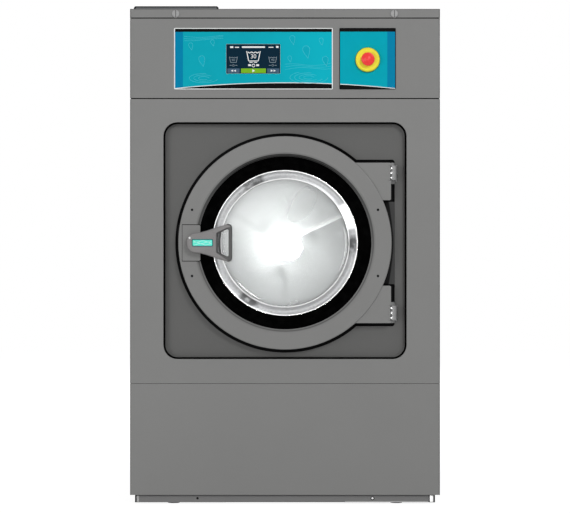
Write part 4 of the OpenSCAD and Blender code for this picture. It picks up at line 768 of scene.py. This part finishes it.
# The two end plates are one part in two tones: the right one's bright steel is a painted highlight, the left one's
# duller steel painted shade
fixed("frame_left_end", [slab([rounded(-420.6, 13.4, 6.6, 18, 1)], 9.2, 10, 0.2, 2)], dull_steel)
fixed("frame_right_end", [slab([rounded(418.6, 13.4, 10, 18, 1)], 9.2, 10, 0.2, 2)], bright_steel)
fixed("frame_edges", [strip(a, 3.4, b, 22.6, 9.4, 10) for a, b in ((-428.4, -424), (411.2, 413.4), (424, 428.4))],
      gap_and_shadow_black)
fixed("frame_lip", [strip(171, 3.1, 410, 6.2, 9.3, 10, 0.2, 2)], dull_steel)
plug = [(0, 8.8), (2.4, 8.8), (3.4, 9.4), (3.4, 10), (2.8, 10), (2.8, 13), (0, 13)]
fixed("frame_plug", [spun(plug, -250, 14.5, 24)], black)
fixed("frame_eyelet", [spun([(3.0, 9.2), (5.2, 9.6), (5.2, 10), (3.0, 10)], 250, 14.5, 32)], gap_and_shadow_black)


# ---------------------------------------- control plates
base, ink, art = -1.5, -1.64, -1.78  # depths of the plates' face, of the ink on it and of the art on the ink
DISPLAY_LEFT, DISPLAY_STRIP, DISPLAY_RIGHT, DISPLAY_TOP = -313.7, -291, 133.9, 1345.8
STOP_LEFT, STOP_STRIP, STOP_RIGHT, STOP_TOP = 157.2, 291.7, 314, 1346.4


def swell(x):
    """Height of the white arc that runs along the foot of both plates."""
    return 1200.4 - 1.64e-4 * x * x


def span(a, b, n=24):
    return [a + (b - a) * i / n for i in range(n + 1)]


def field(a, b, top, *holes, n=24):
    """Ink from the white arc up to a height."""
    return slab([[(x, swell(x)) for x in span(a, b, n)] + [(b, top), (a, top)], *holes], ink, base, 0)


def arc_line(a, b, n):
    return [ribbon([(x, swell(x) + 0.3) for x in span(a, b, n)], 2.0, art, ink)]


foot = [(x, swell(x)) for x in span(-313.4, 133.6)]
fixed("display_band", [strip(DISPLAY_LEFT, DISPLAY_TOP, DISPLAY_RIGHT, 1354.9, ink, base),
                       slab([[(DISPLAY_LEFT, 1184.3), (DISPLAY_RIGHT, 1184.3)] + foot[::-1]], ink, base, 0)], ink_black)
window = rounded(*SCREEN, 154.6, 84.6, 1.6)
fixed("display_field", [field(DISPLAY_STRIP, DISPLAY_RIGHT, DISPLAY_TOP, window)], teal)
fixed("display_strip", [field(DISPLAY_LEFT, DISPLAY_STRIP, DISPLAY_TOP, n=6)], blue)
fixed("display_arc", arc_line(-313.4, 133.6, 40), ink_white)
fixed("stop_field", [field(STOP_LEFT, STOP_STRIP, STOP_TOP, circle(*BUTTON, 30, 48))], teal_plain)
fixed("stop_strip", [field(STOP_STRIP, STOP_RIGHT, STOP_TOP, n=6)], blue)
# A dark teal ring round the yellow collar is its painted shadow on the film
fixed("stop_collar_shadow", [slab([circle(*BUTTON, 36.1, 64), circle(*BUTTON, 34, 64)], art, ink, 0)],
      label_dark)
fixed("stop_arc", arc_line(STOP_LEFT, STOP_RIGHT, 16), ink_white)


# A plain pattern for the film: falling droplets, ripples round where they land, and slow waves
def droplet(u, v, r):
    """Outline of a falling drop: round below, drawn out to a point above."""
    out, lean, n = [], 0.2, 30
    for i in range(n):
        t = 2 * math.pi * i / n
        x, y = r * math.sin(t) * math.sin(t / 2) ** 1.6, -r * 1.25 * math.cos(t)
        out.append((u + x * math.cos(lean) - y * math.sin(lean), v + x * math.sin(lean) + y * math.cos(lean)))
    return out[::-1]


drops, lines = [], []
for u, v, r in ((-268, 1304, 7), (-236, 1262, 11), (-206, 1314, 6), (22, 1322, 9), (62, 1288, 13), (104, 1318, 7),
                (116, 1262, 10), (14, 1268, 6)):
    if r > 8:
        drops.append(slab([droplet(u, v, r)], art, ink, 0))
    edge = droplet(u, v, r + 1.6)
    lines.append(ribbon(edge + edge[:1], 0.6, art, ink))
for u, v, rings in ((-232, 1214, 3), (68, 1216, 4)):
    for k in range(rings):
        wide = 15 + 13 * k
        turns = [2 * math.pi * i / 48 + 0.7 * k for i in range(42 - 3 * k)]
        lines.append(ribbon([(u + wide * math.cos(t), v + 0.32 * wide * math.sin(t)) for t in turns], 0.6, art, ink))
for k in range(3):
    upper = [(x, 1334 - 5 * k + 3.5 * math.sin(x / 31 + 0.5 * k)) for x in span(-288, -176, 40)]
    lower = [(x, 1238 + 6 * k + 4 * math.sin(x / 26 + 0.6 * k) + 0.05 * x) for x in span(0, 133, 50)]
    lines += [ribbon(path, 0.5, art, ink) for path in (upper, lower)]
fixed("display_drops", drops, teal_light)
fixed("display_lines", lines, line_light)


# ---------------------------------------- screen
def tub_sign(u, v, w, line):
    """Wash-tub sign: a tapering tub under a wavy water line."""
    h = w * 0.72
    water = [(u - w * 0.42 + w * 0.84 * i / 24, v + h * 0.36 + w * 0.035 * math.cos(i / 24 * 6 * math.pi))
             for i in range(25)]
    side = [(u - w / 2, v + h / 2), (u - w * 0.35, v - h / 2), (u + w * 0.35, v - h / 2), (u + w / 2, v + h / 2)]
    return [ribbon(water, line, fine, art)] + [ribbon([side[i], side[i + 1]], line, fine, art) for i in range(3)]


def number(text, u, v, size):
    """Plain upright numerals as raised print."""
    curve = bpy.data.curves.new("numerals", "FONT")
    curve.body, curve.size, curve.align_x, curve.align_y = text, size, "CENTER", "CENTER"
    curve.extrude = 0.06
    obj = bpy.data.objects.new("numerals", curve)
    collection.objects.link(obj)
    mesh = bpy.data.meshes.new_from_object(obj.evaluated_get(bpy.context.evaluated_depsgraph_get()))
    points = [(u + p.co.x, art - 0.02 - p.co.z, v + p.co.y) for p in mesh.vertices]
    faces = [list(f.vertices) for f in mesh.polygons]
    bpy.data.objects.remove(obj)
    return points, faces


def box(u, v, w, h, r=0.6):
    return slab([rounded(u, v, w, h, r, 3)], fine, art, 0)


def hoop(u, v, r, r2, n):
    return slab([circle(u, v, r, n), circle(u, v, r2, n)], fine, art, 0)


def screen(name, shapes, look):
    fixed(name, shapes, look)


screen("screen_field", [slab([rounded(*SCREEN, 150, 80, 1)], -1.16, -1.1, 0)], screen_look)
art, fine = -1.16, -1.26  # depths of the screen's face and of the signs on it
lit = tub_sign(-90, 1277, 39, 2.4) + [box(-90, 1302.5, 66, 4.6), box(-152, 1302.5, 9, 5), box(-137, 1302, 12, 3)]
lit += [box(-40, 1302, 14, 2.6), box(-22, 1303, 7, 6), box(-97, 1259, 9, 2.2), box(-84, 1259, 9, 2.2)]
lit += [box(-101, 1251, 8, 5.4), box(-78, 1251, 8, 5.4), hoop(-90, 1250, 5, 3.2, 32), number("30", -90, 1275.5, 17)]
screen("screen_lit", lit, ink_white)
dim = tub_sign(-147, 1267, 23, 1.5) + tub_sign(-35, 1267, 23, 1.5)
dim += [number("60", -147, 1266, 10), number("40", -35, 1266, 10)]
for u in (-147, -35):
    dim += [hoop(u, 1250.5, 3.2, 2.1, 24), box(u - 8, 1250.5, 6, 1.6), box(u + 8, 1250.5, 6, 1.6)]
screen("screen_dim", dim, screen_dim)
screen("screen_start", [box(-90, 1235.2, 71, 13, 1.2)], screen_green)
screen("screen_keys", [box(-147, 1235.2, 35, 13, 1.2), box(-33.5, 1235.2, 35, 13, 1.2)], screen_grey)
art, fine = -1.26, -1.34  # and of the keys and the arrows on them
arrows = [slab([[(u - 3 * s, 1232), (u + 3.4 * s, 1235.2), (u - 3 * s, 1238.4)]], fine, art, 0)
          for u, s in ((-151, -1), (-143, -1), (-37.5, 1), (-29.5, 1))]
arrows += [slab([[(-93, 1230.6), (-85.8, 1235.2), (-93, 1239.8)]], fine, art, 0)]
screen("screen_arrows", arrows, ink_white)
bezel = [rounded(*SCREEN, 153.4, 83.4, 1.5), rounded(*SCREEN, 150.4, 80.4, 1)]
fixed("screen_bezel", [slab(bezel, -1.42, -1.1, 0.1, 2)], black)


# ---------------------------------------- stop button
collar = [(8.1, -1.5), (8.1, -13.2), (9, -14), (24.5, -15), (27.5, -14.9)] + arc(28.5, -9, 6, 276, 350, 8)
collar += [(34.5, -6), (34.5, -1.5)]
build("stop_collar_skin", [spun(collar, *BUTTON, 96)], yellow, "cabinet",
      ["stop_collar"], angle=35)
cap = [(0, -24), (15.5, -24), (17.8, -25.2)] + arc(15.6, -28.4, 3.4, 35, -42, 8) + arc(0, -10, 25.8, -56, -90, 10)
cap[-1] = (0, cap[-1][1])
build("stop_cap", [spun(cap, *BUTTON, 96)], red, "stop_head", ["stop_button"], angle=35)


# ---------------------------------------- rear screws, lid and locks
def pan_screw(r=4.2, high=2.2):
    """Pan-head screw with a cross recess, its seat at depth 0 and its head towards the front."""
    dome = [(r * math.cos(t), -0.5 - (high - 0.5) * math.sin(t)) for t in (0.35, 0.7, 1.05, 1.3)]
    head = spun([(0, 0), (r, 0), (r, -0.5)] + dome + [(0, -high)], 0, 0, 20)
    return [head] + [(*slab([rounded(0, 0, r * w, r * h, 0.1, 2)], -high - 0.03, -high * 0.6, 0), 1)
                     for w, h in ((1.1, 0.26), (0.26, 1.1))]


def rear_screws(name, depth, places):
    """Screws on the back, turned about the upright axis to face backwards."""
    fixed(name, [([(x - u, depth - d, z + v) for u, d, v in shape[0]], *shape[1:])
                 for x, z in places for shape in pan_screw()], [zinc, black])


rear_screws("rear_screws", 1000, [(x, z) for x in (-425, 425) for z in (110, 360, 700, 1010, 1360)]
            + [(x, 1360) for x in (-210, -60, 130)])
rear_screws("cover_screws", 1001.5, [(x, z) for x in (-308, 308) for z in (196, 400, 620, 840, 1044)]
            + [(x, z) for x in (-110, 110) for z in (196, 1044)])

# A grey band on the black lid's front is a painted sheen along its bevel
build("soap_lid_sheen", [slab([rounded(-312.5, 1418.1, 232, 4.8, 1)], 39.5, 40, 0.2, 2)], grey_plastic, "soap_cover")
# A darker ring round each lock head is a painted shadow
lock_shade_ring = [(11.05, -0.01), (12.4, -0.01), (12.4, -0.5), (11.05, -0.6)]
for side, x in (("left", -312), ("right", 312)):
    build(f"{side}_lock_slot", [slab([rounded(x, 1398, 2.1, 20.4, 0.6, 3)], -1.6, -1.21, 0)], grip_look,
          f"{side}_catch")
    fixed(f"{side}_lock_shadow_ring", [spun(lock_shade_ring, x, 1398, 48)], frame_steel)


# ---------------------------------------- stage, lights and camera
def is_seen(tree):
    """1 for rays that show a surface, straight on, in gloss or through glass; 0 for those that carry its light."""
    path = tree.nodes.new("ShaderNodeLightPath")
    seen = path.outputs["Is Camera Ray"]
    for ray in ("Is Glossy Ray", "Is Transmission Ray"):
        node = tree.nodes.new("ShaderNodeMath")
        node.operation = "MAXIMUM"
        tree.links.new(seen, node.inputs[0])
        tree.links.new(path.outputs[ray], node.inputs[1])
        seen = node.outputs[0]
    return seen


def stage_material(name, albedo, glow, faint_part):
    """A pale surface that lights the object as written and shows white where it is seen."""
    material = bpy.data.materials.new(name)
    material.use_nodes = True
    tree = material.node_tree
    tree.nodes.clear()
    kinds = "BsdfDiffuse", "BsdfDiffuse", "Emission", "AddShader", "MixShader", "OutputMaterial"
    pale, faint, light, both, mix, out = [tree.nodes.new("ShaderNode" + kind) for kind in kinds]
    pale.inputs[0].default_value = (albedo, albedo, albedo, 1)
    faint.inputs[0].default_value = (faint_part, faint_part, faint_part, 1)
    light.inputs["Strength"].default_value = glow
    tree.links.new(faint.outputs[0], both.inputs[0])
    tree.links.new(light.outputs[0], both.inputs[1])
    for socket, output in zip(mix.inputs, (is_seen(tree), pale.outputs[0], both.outputs[0])):
        tree.links.new(output, socket)
    tree.links.new(mix.outputs[0], out.inputs["Surface"])
    return material


floor_mesh = bpy.data.meshes.new("floor")
floor_mesh.from_pydata([(-9, -9, 0), (9, -9, 0), (9, 9, 0), (-9, 9, 0)], [], [[0, 1, 2, 3]])
floor_mesh.materials.append(stage_material("floor_look", 0.7, 0.88, 0.3))
floor = bpy.data.objects.new("floor", floor_mesh)
collection.objects.link(floor)

world = bpy.data.worlds.new("studio")
bpy.context.scene.world = world
world.use_nodes = True
tree = world.node_tree
background = tree.nodes["Background"]
background.inputs["Color"].default_value = (1, 1, 1, 1)
level = tree.nodes.new("ShaderNodeMapRange")
level.inputs["To Min"].default_value = SHADE
level.inputs["To Max"].default_value = WHITE
tree.links.new(is_seen(tree), level.inputs["Value"])
tree.links.new(level.outputs["Result"], background.inputs["Strength"])


def lamp(name, where, size, power):
    """A round soft lamp that shines on the object's middle."""
    data = bpy.data.lights.new(name, "AREA")
    data.shape = "DISK"
    data.size = size
    data.energy = power
    obj = bpy.data.objects.new(name, data)
    collection.objects.link(obj)
    obj.location = where
    obj.rotation_euler = (Vector((0, 0, 0.75)) - Vector(where)).to_track_quat("-Z", "Y").to_euler()


lamp("key", (1.9, -5.2, 3.2), 1.6, 84)
lamp("fill", (-3.0, -4.6, 0.9), 2.6, 54)
lamp("near_camera", (-0.05, -7.4, 0.84), 0.4, 26)
lamp("back_left", (-2.4, 5.4, 3.0), 2.4, 75)
lamp("back_right", (2.6, 5.6, 2.6), 2.4, 75)

camera_data = bpy.data.cameras.new("camera")
camera_data.sensor_width = 36
camera_data.lens = 132.84
camera_data.clip_end = 60
camera = bpy.data.objects.new("camera", camera_data)
collection.objects.link(camera)
camera.location = (0, -6.508, 0.7053)
camera.rotation_euler = (math.pi / 2, 0, 0)
bpy.context.scene.camera = camera
bpy.context.scene.view_settings.view_transform = "Standard"
